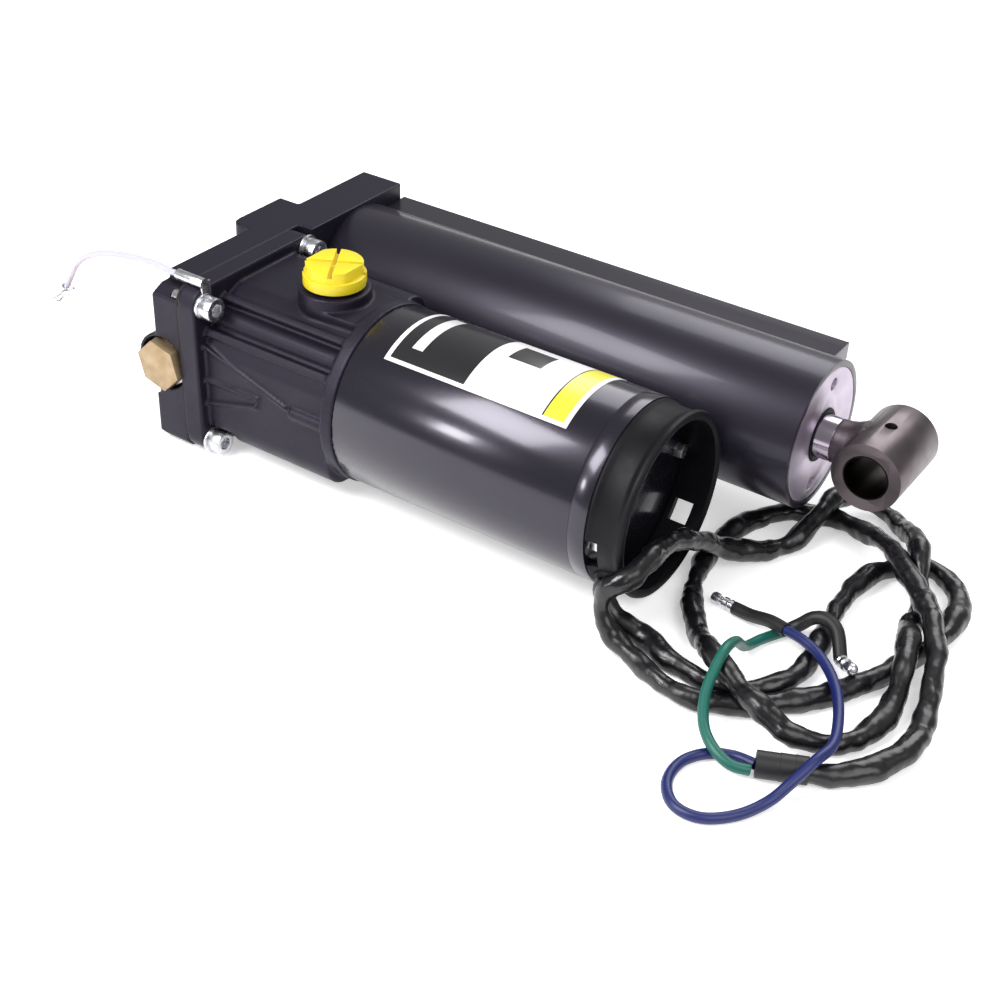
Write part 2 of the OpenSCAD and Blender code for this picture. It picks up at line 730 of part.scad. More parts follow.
// Gear pump
module pump_housing() {
    shaft_fit = shaft_r + fit;
    color("#9a9ca2") difference() {
        at_motor() rod_x(seat_x, pump_cover_x, pump_r);
        for (y = [motor_y, driven_y]) {
            rod_x(gear_x - gear_gap, pump_cover_x + eps, gear_bore_r, y, motor_z);
            rod_x(seat_x + 1, gear_x, shaft_fit, y, motor_z, small_fn);
        }
        for (a = pump_screw_angles)
            rod_x(seat_x - eps, pump_cover_x + eps, pump_screw_r + 0.1,
                motor_y + pump_screw_ring_r * cos(a), motor_z + pump_screw_ring_r * sin(a), small_fn);
        rod_x(seat_x - eps, gear_x, port_r, motor_y - gear_pitch_r, motor_z + port_up, small_fn);
    }
}
module pump_cover() {
    color("#8d9097") difference() {
        at_motor() rod_x(pump_cover_x, pump_cover_x + pump_cover_t, pump_r);
        for (y = [motor_y, driven_y])
            rod_x(pump_cover_x - eps, pump_cover_x + pump_cover_t + eps, shaft_r + fit, y, motor_z, small_fn);
        for (a = pump_screw_angles)
            rod_x(pump_cover_x - eps, pump_cover_x + pump_cover_t + eps, pump_screw_r + 0.1,
                motor_y + pump_screw_ring_r * cos(a), motor_z + pump_screw_ring_r * sin(a), small_fn);
    }
}
module pump_screws() {
    head_x = pump_cover_x + pump_cover_t;
    color("#c8c9cc") at_motor() for (a = pump_screw_angles) {
        y = pump_screw_ring_r * cos(a);
        z = pump_screw_ring_r * sin(a);
        difference() {
            union() {
                rod_x(head_x, head_x + pump_screw_head_len, pump_screw_head_r, y, z, small_fn);
                rod_x(seat_x - 3, head_x + eps, pump_screw_r, y, z, small_fn);
            }
            hex_x(head_x + 1, head_x + pump_screw_head_len + eps, pump_screw_head_r, y, z);
        }
    }
}
module gear_outline(turn) {
    step = 360 / teeth;
    polygon([for (k = [0:teeth - 1], q = [[-tooth_root_deg, gear_root_r], [-tooth_pitch_deg, gear_pitch_r],
        [-tooth_tip_deg, gear_tip_r], [tooth_tip_deg, gear_tip_r], [tooth_pitch_deg, gear_pitch_r],
        [tooth_root_deg, gear_root_r]])
        let (a = turn + k * step + q[0]) [q[1] * cos(a), q[1] * sin(a)]]);
}
module drive_gear() {
    color("#a7a9ae") at_motor() {
        plate_x(gear_x, gear_x + gear_len) gear_outline(0);
        rod_x(seat_x + 1 + gap, gear_x + eps, shaft_r, fn = small_fn);
        rod_x(gear_x + gear_len - eps, pump_shaft_end, shaft_r, fn = small_fn);
    }
}
module driven_gear() {
    color("#a7a9ae") translate([0, driven_y, motor_z]) {
        plate_x(gear_x, gear_x + gear_len) gear_outline(180 / teeth);
        rod_x(seat_x + 1 + gap, gear_x + eps, shaft_r, fn = small_fn);
        rod_x(gear_x + gear_len - eps, pump_cover_x + pump_cover_t, shaft_r, fn = small_fn);
    }
}
module drive_coupling() {
    color("#77797f") at_motor() difference() {
        rod_x(coupling_x, coupling_x + coupling_len, coupling_r);
        rod_x(coupling_x - eps, coupling_x + coupling_len + eps, shaft_r, fn = small_fn);
        translate([coupling_x + coupling_len / 2 - 1, -coupling_r - eps, -coupling_r - eps])
            cube([coupling_groove, 2 * coupling_r + 2 * eps, coupling_groove + eps]);
    }
}

// Motor
module motor_plate() {
    color("#4a4b50") at_motor() difference() {
        union() {
            rod_x(plate_seat_x, plate_rim_x + eps, oil_r - 0.1);
            rod_x(plate_rim_x, collar_x, plate_r - 0.1);
            rod_x(collar_x - eps, collar_x + plate_spigot, can_r - can_wall - 0.1);
        }
        rod_x(plate_seat_x - eps, collar_x + plate_spigot + eps, seal_r, fn = small_fn);
        rod_x(bearing_x, collar_x + plate_spigot + eps, bearing_r);
        for (a = bolt_angles)
            rod_x(collar_x - 3, collar_x + plate_spigot + eps, bolt_r,
                bolt_ring_r * cos(a), bolt_ring_r * sin(a), small_fn);
    }
}
module shaft_seal() {
    color("#1c1c1e") at_motor() ring_x(plate_seat_x, plate_seat_x + seal_len, seal_r, shaft_r + fit);
}
module ball_bearing(x0, w, r) {
    race = (r - shaft_r) / 3;
    ring_x(x0, x0 + w, r, r - race);
    ring_x(x0, x0 + w, shaft_r + race, shaft_r + fit);
    for (a = [0:60:300])
        translate([x0 + w / 2, (r + shaft_r) / 2 * cos(a), (r + shaft_r) / 2 * sin(a)])
            sphere(race / 2 + 0.02, $fn = coarse_fn);
}
module motor_bearings() {
    color("#b8bcc2") at_motor() {
        ball_bearing(bearing_x, bearing_len, bearing_r);
        ring_x(rear_bearing_x, rear_bearing_x + rear_bearing_len, seal_r, shaft_r + fit);
    }
}
module motor_can() {
    color("#26252b") at_motor() ring_x(collar_x, can_end_x, can_r, can_r - can_wall);
}
module magnets() {
    color("#55565b") at_motor() for (side = [0, 180]) rotate([side, 0, 0])
        translate([magnet_x, 0, 0]) rotate([90, 0, 90]) rotate([0, 0, 90 - magnet_deg / 2])
            rotate_extrude(angle = magnet_deg, $fn = round_fn)
                translate([magnet_inner_r, 0]) square([magnet_r - magnet_inner_r, magnet_len]);
}
module armature_shaft() {
    color("#b8bcc2") at_motor() rod_x(armature_x, armature_end, shaft_r, fn = small_fn);
}
module armature_core() {
    color("#6d6f75") at_motor() difference() {
        ring_x(core_x, core_x + core_len, core_r, shaft_r);
        for (k = [0:core_slots - 1]) rotate([k * 360 / core_slots, 0, 0])
            translate([core_x - eps, core_r - slot_depth, -slot_w / 2])
                cube([core_len + 2 * eps, slot_depth + eps, slot_w]);
    }
}
module armature_windings() {
    color("#b4652a") at_motor() {
        ring_x(core_x - winding_len, core_x, winding_r, winding_inner_r);
        ring_x(core_x + core_len, core_x + core_len + winding_len, winding_r, winding_inner_r);
        for (k = [0:core_slots - 1]) rotate([k * 360 / core_slots, 0, 0])
            translate([core_x - eps, core_r - slot_depth + 1, -slot_w / 2 + 0.3])
                cube([core_len + 2 * eps, slot_depth - 4, slot_w - 0.6]);
    }
}
module commutator() {
    color("#c98a4b") at_motor() difference() {
        ring_x(commutator_x, commutator_x + commutator_len, commutator_r, shaft_r);
        for (k = [0:commutator_cuts - 1]) rotate([k * 360 / commutator_cuts, 0, 0])
            translate([commutator_x + 3, commutator_r - 1, -0.4])
                cube([commutator_len, 2, 0.8]);
    }
}
module brush_holder() {
    spring_end = commutator_r + gap + brush_len + spring_turns * spring_pitch + 2 * spring_wire_r;
    color("#6b4a2c") at_motor() {
        difference() {
            ring_x(holder_x, holder_x + holder_t, can_r - can_wall - 0.2, holder_hole_r);
            for (a = bolt_angles)
                rod_x(holder_x - eps, holder_x + holder_t + eps, bolt_r + 0.3,
                    bolt_ring_r * cos(a), bolt_ring_r * sin(a), small_fn);
        }
        for (side = [0, 180]) rotate([side, 0, 0])
            translate([brush_x, -brush_t / 2 - 1, spring_end]) cube([brush_w + eps, brush_t + 2, 2]);
    }
}
module brushes() {
    color("#3c3c40") at_motor() for (side = [0, 180]) rotate([side, 0, 0])
        translate([brush_x, -brush_t / 2, commutator_r + gap]) cube([brush_w, brush_t, brush_len]);
}
function coil_points(side) = [for (i = [0:spring_turns * 8])
    let (a = 45 * i) [brush_x + brush_w / 2 + spring_r * cos(a), spring_r * sin(a),
        side * (commutator_r + gap + brush_len + spring_wire_r + spring_pitch * i / 8)]];
module brush_springs() {
    color("#c8c9cc") at_motor() for (side = [-1, 1]) sweep_tube(coil_points(side), spring_wire_r, 6);
}
module motor_end_bell() {
    color("#232228") at_motor() difference() {
        union() {
            rod_x(can_end_x, bell_end, can_r);
            rod_x(can_end_x - 2 * plate_spigot, can_end_x + eps, can_r - can_wall - 0.1);
        }
        rod_x(can_end_x - 2 * plate_spigot - eps, bell_end - bell_wall - eps, can_r - 2 * can_wall);
        for (a = bolt_angles)
            rod_x(can_end_x - 2 * plate_spigot - eps, bell_end + eps, bolt_r + 0.1,
                bolt_ring_r * cos(a), bolt_ring_r * sin(a), small_fn);
    }
    color("#232228") at_motor() ring_x(rear_bearing_x, bell_end - bell_wall, seal_r + 3, seal_r);
}
module through_bolts() {
    color("#d4d6da") at_motor() for (a = bolt_angles) {
        y = bolt_ring_r * cos(a);
        z = bolt_ring_r * sin(a);
        hex_x(bell_end, bell_end + bolt_head_len, 2 * bolt_head_r / hex_share, y, z);
        rod_x(collar_x - 3, bell_end + eps, bolt_r, y, z, small_fn);
    }
}
module motor_boot() {
    color("#1e1d22") at_motor() difference() {
        union() {
            ring_x(bell_end, boot_end, boot_r, boot_r - boot_wall);
            ring_x(boot_end - 2 * boot_lip, boot_end, boot_r + boot_lip, boot_r - boot_wall);
        }
        rotate([drain_angle, 0, 0]) translate([bell_end + boot_wall, 0, -drain_w / 2])
            cube([boot_len / 2, boot_r + 4, drain_w]);
        rotate([bolt_angles[1], 0, 0]) translate([bell_end - eps, 0, -boot_notch_w / 2])
            cube([bolt_head_len + 1.5, boot_r + 4, boot_notch_w]);
        rotate([exit_angle, 0, 0]) translate([bell_end + boot_len / 2, 0, 0]) rotate([-90, 0, 0])
            cylinder(h = boot_r + 4, r = exit_r + 1, $fn = small_fn);
    }
}
module cable_grommet() {
    r0 = boot_r - boot_wall - 1.5;
    color("#151518") at_motor() rotate([exit_angle, 0, 0]) translate([bell_end + boot_len / 2, 0, 0])
        rotate([-90, 0, 0]) translate([0, 0, r0])
            cylinder(h = grommet_len, r = exit_r + 1, $fn = small_fn);
}
module blank_label() {
    color("#e9e7e4") at_motor() translate([label_x[0], 0, 0]) rotate([90, 0, 90])
        rotate([0, 0, label_from]) rotate_extrude(angle = label_to - label_from, $fn = round_fn)
            translate([can_r, 0]) square([label_t, label_x[1] - label_x[0]]);
}

// Tilt cylinder
module tilt_tube() {
    color("#2b2a30") difference() {
        union() {
            rod_x(manifold_front, tube_end_x, tube_r);
            plate_x(manifold_front, rib_end_x)
                polygon([[rib_y[0], rib_z[1]], [rib_y[1], rib_z[1]], [rib_y[1], rib_z[1] - 7],
                    [rib_y[1] - 3, rib_z[0]], [rib_y[1] - 6, rib_z[0]], [rib_y[0] + 3, rib_z[1] - 4]]);
        }
        rod_x(manifold_front - eps, tube_end_x + eps, bore_r);
        rod_x(gland_x, tube_end_x + eps, mouth_r);
        rod_x(manifold_front - eps, port_x + gallery_r, gallery_r, gallery_y, gallery_up, small_fn);
        translate([port_x, 0, 0]) rotate([atan2(gallery_up, gallery_y), 0, 0])
            rod_y(bore_r - 2, norm([gallery_y, gallery_up]), gallery_r - 0.5, fn = small_fn);
    }
}
module gland() {
    color("#dcd6e0") difference() {
        union() {
            rod_x(gland_x, tube_end_x, gland_r);
            rod_x(gland_nose_x, gland_x + eps, nose_r);
        }
        rod_x(gland_nose_x - eps, tube_end_x + eps, rod_r + fit);
        rod_x(tube_end_x - wiper_len, tube_end_x + eps, wiper_r);
        ring_x(seal_x, seal_x + ring_w, wiper_r, rod_r);
        ring_x(nose_ring_x, nose_ring_x + ring_w, nose_r + eps, nose_r - ring_t);
        for (a = pin_hole_angles)
            rod_x(tube_end_x - pin_hole_depth, tube_end_x + eps, pin_hole_r,
                pin_hole_ring_r * cos(a), pin_hole_ring_r * sin(a), small_fn);
    }
}
module gland_ring() {
    color("#1c1c1e") ring_x(nose_ring_x, nose_ring_x + ring_w, bore_r, nose_r - ring_t);
}
module rod_seals() {
    color("#1c1c1e") {
        ring_x(tube_end_x - wiper_len, tube_end_x + 0.4, wiper_r, rod_r + fit);
        ring_x(seal_x, seal_x + ring_w, wiper_r, rod_r + fit);
    }
}
module free_piston() {
    color("#a9abb0") difference() {
        rod_x(free_x, free_x + free_len, piston_r);
        ring_x(free_x + free_len / 2 - ring_w / 2, free_x + free_len / 2 + ring_w / 2,
            piston_r + eps, piston_r - ring_t);
    }
}
module free_piston_ring() {
    color("#1c1c1e") ring_x(free_x + free_len / 2 - ring_w / 2, free_x + free_len / 2 + ring_w / 2,
        piston_r, piston_r - ring_t);
}
module piston() {
    ring_x0 = piston_front - 12;
    color("#a9abb0") difference() {
        rod_x(piston_x, piston_front, piston_r);
        rod_x(piston_x - eps, piston_x + nut_pocket, nut_pocket_r);
        rod_x(piston_x, piston_front + eps, spigot_rod_r);
        ring_x(ring_x0, ring_x0 + ring_w, piston_r + eps, piston_r - ring_t);
        for (a = shock_angles) {
            y = shock_ring_r * cos(a);
            z = shock_ring_r * sin(a);
            rod_x(piston_x - eps, piston_front + eps, shock_seat_r, y, z, small_fn);
            rod_x(shock_x, piston_front + eps, shock_bore_r, y, z, small_fn);
        }
    }
}
module piston_ring() {
    ring_x0 = piston_front - 12;
    color("#1c1c1e") ring_x(ring_x0, ring_x0 + ring_w, piston_r, piston_r - ring_t);
}
module shock_balls() {
    rise = sqrt(pow(shock_ball_r, 2) - pow(shock_seat_r, 2));
    color("#d6d8dc") for (a = shock_angles)
        translate([shock_x + rise + 0.05, shock_ring_r * cos(a), shock_ring_r * sin(a)])
            sphere(shock_ball_r, $fn = coarse_fn);
}
module tilt_rod() {
    neck_x = eye_x - eye_neck_len;
    color("#d9dade") {
        rod_x(nut_x - 1, piston_front + eps, spigot_rod_r);
        rod_x(piston_front, neck_x, rod_r);
        rod_x(neck_x - eps, neck_x + eye_socket, spigot_rod_r);
    }
}
module rod_nut() {
    color("#8d9097") difference() {
        hex_x(nut_x, nut_x + nut_len, nut_af);
        rod_x(nut_x - eps, nut_x + nut_len + eps, spigot_rod_r);
    }
}
module rod_eye() {
    neck_x = eye_x - eye_neck_len;
    color("#cfc6c6") difference() {
        union() {
            translate([neck_x, 0, 0]) rotate([90, 0, 90]) rotate_extrude($fn = round_fn)
                polygon([[0, 0], [rod_r, 0], [rod_r + 0.3, 3], [rod_r + 1, 6], [rod_r + neck_flare, 10],
                    [rod_r + neck_flare, eye_neck_len - 4], [0, eye_neck_len - 4]]);
            rod_y(-eye_len / 2, eye_len / 2, eye_r, eye_x);
        }
        rod_y(-eye_len / 2 - eps, eye_len / 2 + eps, eye_bore_r, eye_x);
        rod_x(neck_x - eps, neck_x + eye_socket, spigot_rod_r);
        translate([eye_x, 0, 0]) cylinder(h = eye_r + eps, r = grease_r, $fn = small_fn);
    }
}

// Earth lead
module earth_terminals() {
    p = [flange_front, motor_y + screw_places[0][0], motor_z + screw_places[0][1]];
    tongue_w = 5;
    a = earth_points[len(earth_points) - 1];
    b = a + crimp_len / 2 * unit([-1, 0, -3]);
    color("#cfd0d3") {
        difference() {
            union() {
                rod_x(p[0], p[0] + washer_t, terminal_r, p[1], p[2], small_fn);
                translate([p[0], p[1] + 1.5 - tongue_w / 2, p[2]])
                    cube([terminal_t, tongue_w, earth_top - p[2] + terminal_t / 2]);
            }
            rod_x(p[0] - eps, p[0] + washer_t + eps, terminal_hole_r, p[1], p[2], small_fn);
        }
        rod_x(earth_points[0][0], p[0] + terminal_t, crimp_r, earth_points[0][1], earth_top, small_fn);
        between(a, b) cylinder(h = norm(b - a), r = crimp_r, $fn = small_fn);
        between(b + ring_off, b + ring_off + ring_face) difference() {
            cylinder(h = terminal_t, r = ring_r, $fn = small_fn);
            translate([0, 0, -eps]) cylinder(h = terminal_t + 2 * eps, r = ring_hole_r, $fn = small_fn);
        }
    }
}
module earth_lead() {
    color("#e6e4e6") sweep_tube(earth_points, earth_d / 2, 8);
}

// Harness
module harness_sleeve() {
    color("#1b1b1f") sweep_tube(sleeve_points, sleeve_d / 2, 8);
}
module tape_collar() {
    color("#111113") between(tape_from, tape_to)
        cylinder(h = norm(tape_to - tape_from), r = tape_r, $fn = small_fn);
}
module green_lead() {
    color("#17806b") sweep_tube(green_points, lead_d / 2, 8);
}
module blue_lead() {
    color("#2b3fae") sweep_tube(blue_points, lead_d / 2, 8);
}
module heat_shrinks() {
    color("#131316") {
        sweep_tube(green_shrink, shrink_d / 2, 8);
        sweep_tube(blue_shrink, shrink_d / 2, 8);
    }
}
module bullet(a, b) {
    l = norm(b - a);
    between(a, b) rotate_extrude($fn = small_fn)
        polygon([[0, 0], [bullet_r, 0], [bullet_r, 0.45 * l], [bullet_neck_r, 0.5 * l],
            [bullet_neck_r, 0.65 * l], [bullet_r, 0.7 * l], [bullet_r, 0.95 * l], [bullet_neck_r, l], [0, l]]);
}
module bullet_terminals() {
    color("#cfd0d3") {
        bullet(green_bullet[0], green_bullet[1]);
        bullet(blue_bullet[0], blue_bullet[1]);
    }
}

manifold();
pivot_bushes();
pilot_spool();
spool_plug();
plug_washer();
check_ball_near();
check_ball_far();
valve_seats();
release_valve();
reservoir();
reservoir_gasket();
reservoir_screws();
reservoir_washers();
fill_cap();
cap_seal();
suction_filter();
pump_housing();
pump_cover();
pump_screws();
drive_gear();
driven_gear();
drive_coupling();
motor_plate();
shaft_seal();
motor_bearings();
motor_can();
magnets();
armature_shaft();
armature_core();
armature_windings();
commutator();
brush_holder();
brushes();
brush_springs();
motor_end_bell();
through_bolts();
motor_boot();
cable_grommet();
blank_label();
tilt_tube();
gland();
gland_ring();
rod_seals();
free_piston();
free_piston_ring();
piston();
piston_ring();
shock_balls();
tilt_rod();
rod_nut();
rod_eye();
earth_terminals();
earth_lead();
harness_sleeve();
tape_collar();
green_lead();
blue_lead();
heat_shrinks();
bullet_terminals();
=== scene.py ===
"""Power trim and tilt unit for an outboard motor: its surfaces, wiring, light and camera."""
import json
import math

import bpy
from mathutils import Matrix, Vector

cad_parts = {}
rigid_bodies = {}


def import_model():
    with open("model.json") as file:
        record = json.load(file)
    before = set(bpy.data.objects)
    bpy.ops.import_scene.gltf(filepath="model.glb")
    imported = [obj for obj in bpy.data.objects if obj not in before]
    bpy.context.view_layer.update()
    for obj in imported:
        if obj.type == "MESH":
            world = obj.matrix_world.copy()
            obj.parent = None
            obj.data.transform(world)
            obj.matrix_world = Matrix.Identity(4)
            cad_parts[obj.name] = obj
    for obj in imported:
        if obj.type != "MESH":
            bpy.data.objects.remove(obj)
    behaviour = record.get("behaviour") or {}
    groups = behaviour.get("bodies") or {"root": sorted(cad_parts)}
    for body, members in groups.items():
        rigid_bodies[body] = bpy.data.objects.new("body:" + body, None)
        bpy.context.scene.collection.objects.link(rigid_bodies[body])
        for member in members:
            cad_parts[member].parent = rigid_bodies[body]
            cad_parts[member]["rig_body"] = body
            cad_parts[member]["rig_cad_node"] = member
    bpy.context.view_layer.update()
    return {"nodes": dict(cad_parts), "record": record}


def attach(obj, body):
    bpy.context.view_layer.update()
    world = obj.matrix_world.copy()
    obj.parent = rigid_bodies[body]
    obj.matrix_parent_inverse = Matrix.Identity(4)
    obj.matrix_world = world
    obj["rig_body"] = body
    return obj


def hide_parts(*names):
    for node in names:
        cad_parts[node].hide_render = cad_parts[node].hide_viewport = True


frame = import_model()

# Lengths are metres. X runs along the cylinder, Y from the motor to the cylinder, Z up.
MM = 0.001
MOTOR_Y = -72 * MM
MOTOR_Z = -6 * MM
FLOOR_Z = -45 * MM
BELL_END_X = 217 * MM
BOOT_END_X = 233 * MM
BOOT_R = 36.5 * MM

# Camera: azimuth 0 looks along +Y, and a positive one walks round to the rod end.
CAMERA_AT = (459.5 * MM, -537.2 * MM, 343.4 * MM)
CAMERA_AZIMUTH = 33.18
CAMERA_ELEVATION = 34.28
CAMERA_ROLL = 2.46
CAMERA_LENS_MM = 59.61


def make_camera():
    """The photograph's camera, from its place, two angles and a small roll."""
    azimuth, elevation, roll = (math.radians(a) for a in (CAMERA_AZIMUTH, CAMERA_ELEVATION, CAMERA_ROLL))
    back = Vector((math.sin(azimuth) * math.cos(elevation),
                   -math.cos(azimuth) * math.cos(elevation), math.sin(elevation)))
    level_right = Vector((math.cos(azimuth), math.sin(azimuth), 0))
    level_up = back.cross(level_right)
    right = level_right * math.cos(roll) + level_up * math.sin(roll)
    up = back.cross(right)
    bpy.ops.object.camera_add(location=CAMERA_AT, rotation=Matrix((right, up, back)).transposed().to_euler())
    camera = bpy.context.object
    camera.name = "camera"
    camera.data.lens = CAMERA_LENS_MM
    camera.data.clip_start = 0.02
    bpy.context.scene.camera = camera


make_camera()


# Small tools for making pieces
def select_only(piece):
    """Makes one object the active and only selected one."""
    bpy.ops.object.select_all(action="DESELECT")
    piece.select_set(True)
    bpy.context.view_layer.objects.active = piece


def settle(piece):
    """Puts the object's place into its mesh."""
    select_only(piece)
    bpy.ops.object.transform_apply(location=True, rotation=True, scale=True)


def edit(piece, *steps):
    """Runs edit-mode operators with everything selected."""
    select_only(piece)
    bpy.ops.object.mode_set(mode="EDIT")
    bpy.ops.mesh.select_all(action="SELECT")
    for step in steps:
        step()
    bpy.ops.object.mode_set(mode="OBJECT")


def modify(piece, kind, **settings):
    """Adds one modifier and applies it."""
    select_only(piece)
    modifier = piece.modifiers.new(kind.lower(), kind)
    for key, value in settings.items():
        setattr(modifier, key, value)
    bpy.ops.object.modifier_apply(modifier=modifier.name)
    return piece


def smooth(piece, degrees=35):
    """Shades the piece smooth, with sharp edges kept over an angle."""
    select_only(piece)
    bpy.ops.object.shade_smooth_by_angle(angle=math.radians(degrees))
    return piece


def join(pieces, name):
    """One piece of several."""
    select_only(pieces[0])
    for piece in pieces[1:]:
        piece.select_set(True)
    if len(pieces) > 1:
        bpy.ops.object.join()
    pieces[0].name = name
    return pieces[0]


def copy_of(node, name):
    """A merged copy of a CAD node's mesh, to be rounded and finished."""
    select_only(frame["nodes"][node])
    bpy.ops.object.duplicate()
    piece = bpy.context.object
    piece.name = name
    piece.parent = None
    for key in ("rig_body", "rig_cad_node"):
        if key in piece:
            del piece[key]
    piece.data.materials.clear()
    edit(piece,
         lambda: bpy.ops.mesh.remove_doubles(threshold=0.002 * MM),
         lambda: bpy.ops.mesh.customdata_custom_splitnormals_clear(),
         lambda: bpy.ops.mesh.dissolve_limited(angle_limit=math.radians(0.5)))
    return piece


def machined(node, edge, body="unit"):
    """A CAD node with its edges broken, as a machined or moulded piece has them."""
    piece = copy_of(node, node + "_finished")
    modify(piece, "BEVEL", width=edge * MM, segments=2, limit_method="ANGLE",
           angle_limit=math.radians(40), use_clamp_overlap=True, miter_outer="MITER_ARC")
    smooth(piece, 40)
    return place(piece, body, node)


# A casting's skin: its grain, its rounds of smoothing and its most triangles
CAST_GRAIN = 0.65 * MM
CAST_ROUNDS = 3
CAST_FACES = 140000


def cast(node):
    """A CAD node with every edge and corner run out, as a casting has them."""
    piece = copy_of(node, node + "_cast")
    modify(piece, "REMESH", mode="VOXEL", voxel_size=CAST_GRAIN)
    modify(piece, "SMOOTH", factor=0.5, iterations=CAST_ROUNDS)
    faces = 2 * len(piece.data.polygons)
    if faces > CAST_FACES:
        modify(piece, "DECIMATE", ratio=CAST_FACES / faces)
    select_only(piece)
    bpy.ops.object.shade_smooth()
    return place(piece, "unit", node)


def place(piece, body, *nodes):
    """Rides the piece on a body and lets it stand for CAD nodes."""
    settle(piece)
    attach(piece, body)
    if nodes:
        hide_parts(*nodes)
    return piece


# Materials
def linear(hex_colour):
    """The linear colour of a hexadecimal screen colour."""
    channels = [int(hex_colour[i:i + 2], 16) / 255 for i in (1, 3, 5)]
    return tuple(c / 12.92 if c <= 0.04045 else ((c + 0.055) / 1.055) ** 2.4 for c in channels)


class Field:
    """A value that changes over a surface. Arithmetic on it adds Math nodes."""

    def __init__(self, finish, socket):
        self.finish = finish
        self.socket = socket

    def math(self, operation, *values):
        return self.finish.node("Math", {"operation": operation}, dict(enumerate(values)))

    def __add__(self, other):
        return self.math("ADD", self, other)

    def __sub__(self, other):
        return self.math("SUBTRACT", self, other)

    def __mul__(self, other):
        return self.math("MULTIPLY", self, other)

    def __gt__(self, other):
        return self.math("GREATER_THAN", self, other)

    def __lt__(self, other):
        return self.math("LESS_THAN", self, other)

    __radd__ = __add__
    __rmul__ = __mul__

    def between(self, low, high):
        """1 where the value is between two numbers, and 0 elsewhere."""
        return (self > low) * (self < high)


class Finish:
    """One material: a Principled shader and whatever feeds it."""

    def __init__(self, slot, colour, roughness, metallic=0.0, **sockets):
        self.slot = slot
        self.colour = linear(colour)
        self.material = bpy.data.materials.new(slot)
        self.material.use_nodes = True
        self.nodes = self.material.node_tree.nodes
        self.links = self.material.node_tree.links
        self.shader = self.nodes["Principled BSDF"]
        self.put(self.shader.inputs["Base Color"], (*self.colour, 1))
        self.put(self.shader.inputs["Roughness"], roughness)
        self.put(self.shader.inputs["Metallic"], metallic)
        for name, value in sockets.items():
            self.put(self.shader.inputs[name.replace("_", " ")], value)

    def put(self, socket, value):
        if isinstance(value, Field):
            self.links.new(value.socket, socket)
        elif isinstance(value, bpy.types.NodeSocket):
            self.links.new(value, socket)
        else:
            socket.default_value = value

    def node(self, kind, settings, inputs, output=0):
        """Adds a node, sets it first, then feeds it, and returns one output."""
        made = self.nodes.new("ShaderNode" + kind)
        for key, value in settings.items():
            setattr(made, key, value)
        for key, value in inputs.items():
            self.put(made.inputs[key], value)
        return Field(self, made.outputs[output])

    def place(self):
        """The piece's own coordinates, in metres."""
        return self.node("TexCoord", {}, {}, "Object")

    def axis(self, name):
        return self.node("SeparateXYZ", {}, {0: self.place()}, name)

    def noise(self, size, detail=3.0, stretch=(1, 1, 1), rough=0.5):
        """Noise with a grain of a size in millimetres, drawn out along an axis."""
        grain = 1 / (size * MM)
        where = self.node("Mapping", {}, {"Vector": self.place(), "Scale": tuple(grain / s for s in stretch)})
        return self.node("TexNoise", {},
                         {"Vector": where, "Scale": 1.0, "Detail": detail, "Roughness": rough})

    def ramp(self, value, low, high, start=0.0, end=1.0):
        """The value, run from one range into another and held at its ends."""
        return self.node("MapRange", {"clamp": True},
                         {"Value": value, "From Min": low, "From Max": high, "To Min": start, "To Max": end})

    def blend(self, factor, first, second):
        """A colour mix: first where the factor is 0, second where it is 1."""
        made = self.nodes.new("ShaderNodeMix")
        made.data_type = "RGBA"
        self.put(made.inputs["Factor"], factor)
        self.put(made.inputs[6], first)
        self.put(made.inputs[7], second)
        return Field(self, made.outputs[2])

    def tint(self, factor, colour):
        """Turns the base colour towards another where the factor is high."""
        base = self.shader.inputs["Base Color"]
        first = base.links[0].from_socket if base.links else tuple(base.default_value)
        self.put(base, self.blend(factor, first, (*linear(colour), 1)))
        return self

    def rough(self, value):
        self.put(self.shader.inputs["Roughness"], value)
        return self

    def bump(self, height, distance, strength=1.0):
        """Raises the surface by a height field, up to a distance in millimetres."""
        last = self.shader.inputs["Normal"]
        inputs = {"Height": height, "Distance": distance * MM, "Strength": strength}
        if last.links:
            inputs["Normal"] = last.links[0].from_socket
        self.put(last, self.node("Bump", {}, inputs))
        return self


# The black paint's reflections lean to violet
PAINT_SHEEN = (0.86, 0.8, 1.0, 1.0)


def cast_paint(slot, colour, roughness, grain=1.4, depth=0.12):
    """Satin paint over a cast skin: fine lumps, and dust that dulls it a little."""
    paint = Finish(slot, colour, roughness, Specular_IOR_Level=0.3, Specular_Tint=PAINT_SHEEN)
    skin = paint.noise(grain, detail=4)
    broad = paint.noise(18, detail=3)
    paint.rough(paint.ramp(broad, 0.3, 0.7, roughness - 0.06, roughness + 0.08))
    paint.bump(skin, depth, 0.6)
    return paint


def tube_paint(slot, colour, roughness, coat):
    """Smooth sprayed paint with a faint orange peel and a little haze along it."""
    paint = Finish(slot, colour, roughness, Coat_Weight=coat, Coat_Roughness=0.12, Specular_Tint=PAINT_SHEEN)
    haze = paint.noise(30, detail=3, stretch=(3, 1, 1))
    peel = paint.noise(1.8, detail=2)
    paint.rough(paint.ramp(haze, 0.3, 0.7, roughness - 0.04, roughness + 0.06))
    paint.bump(peel, 0.03, 0.4)
    return paint


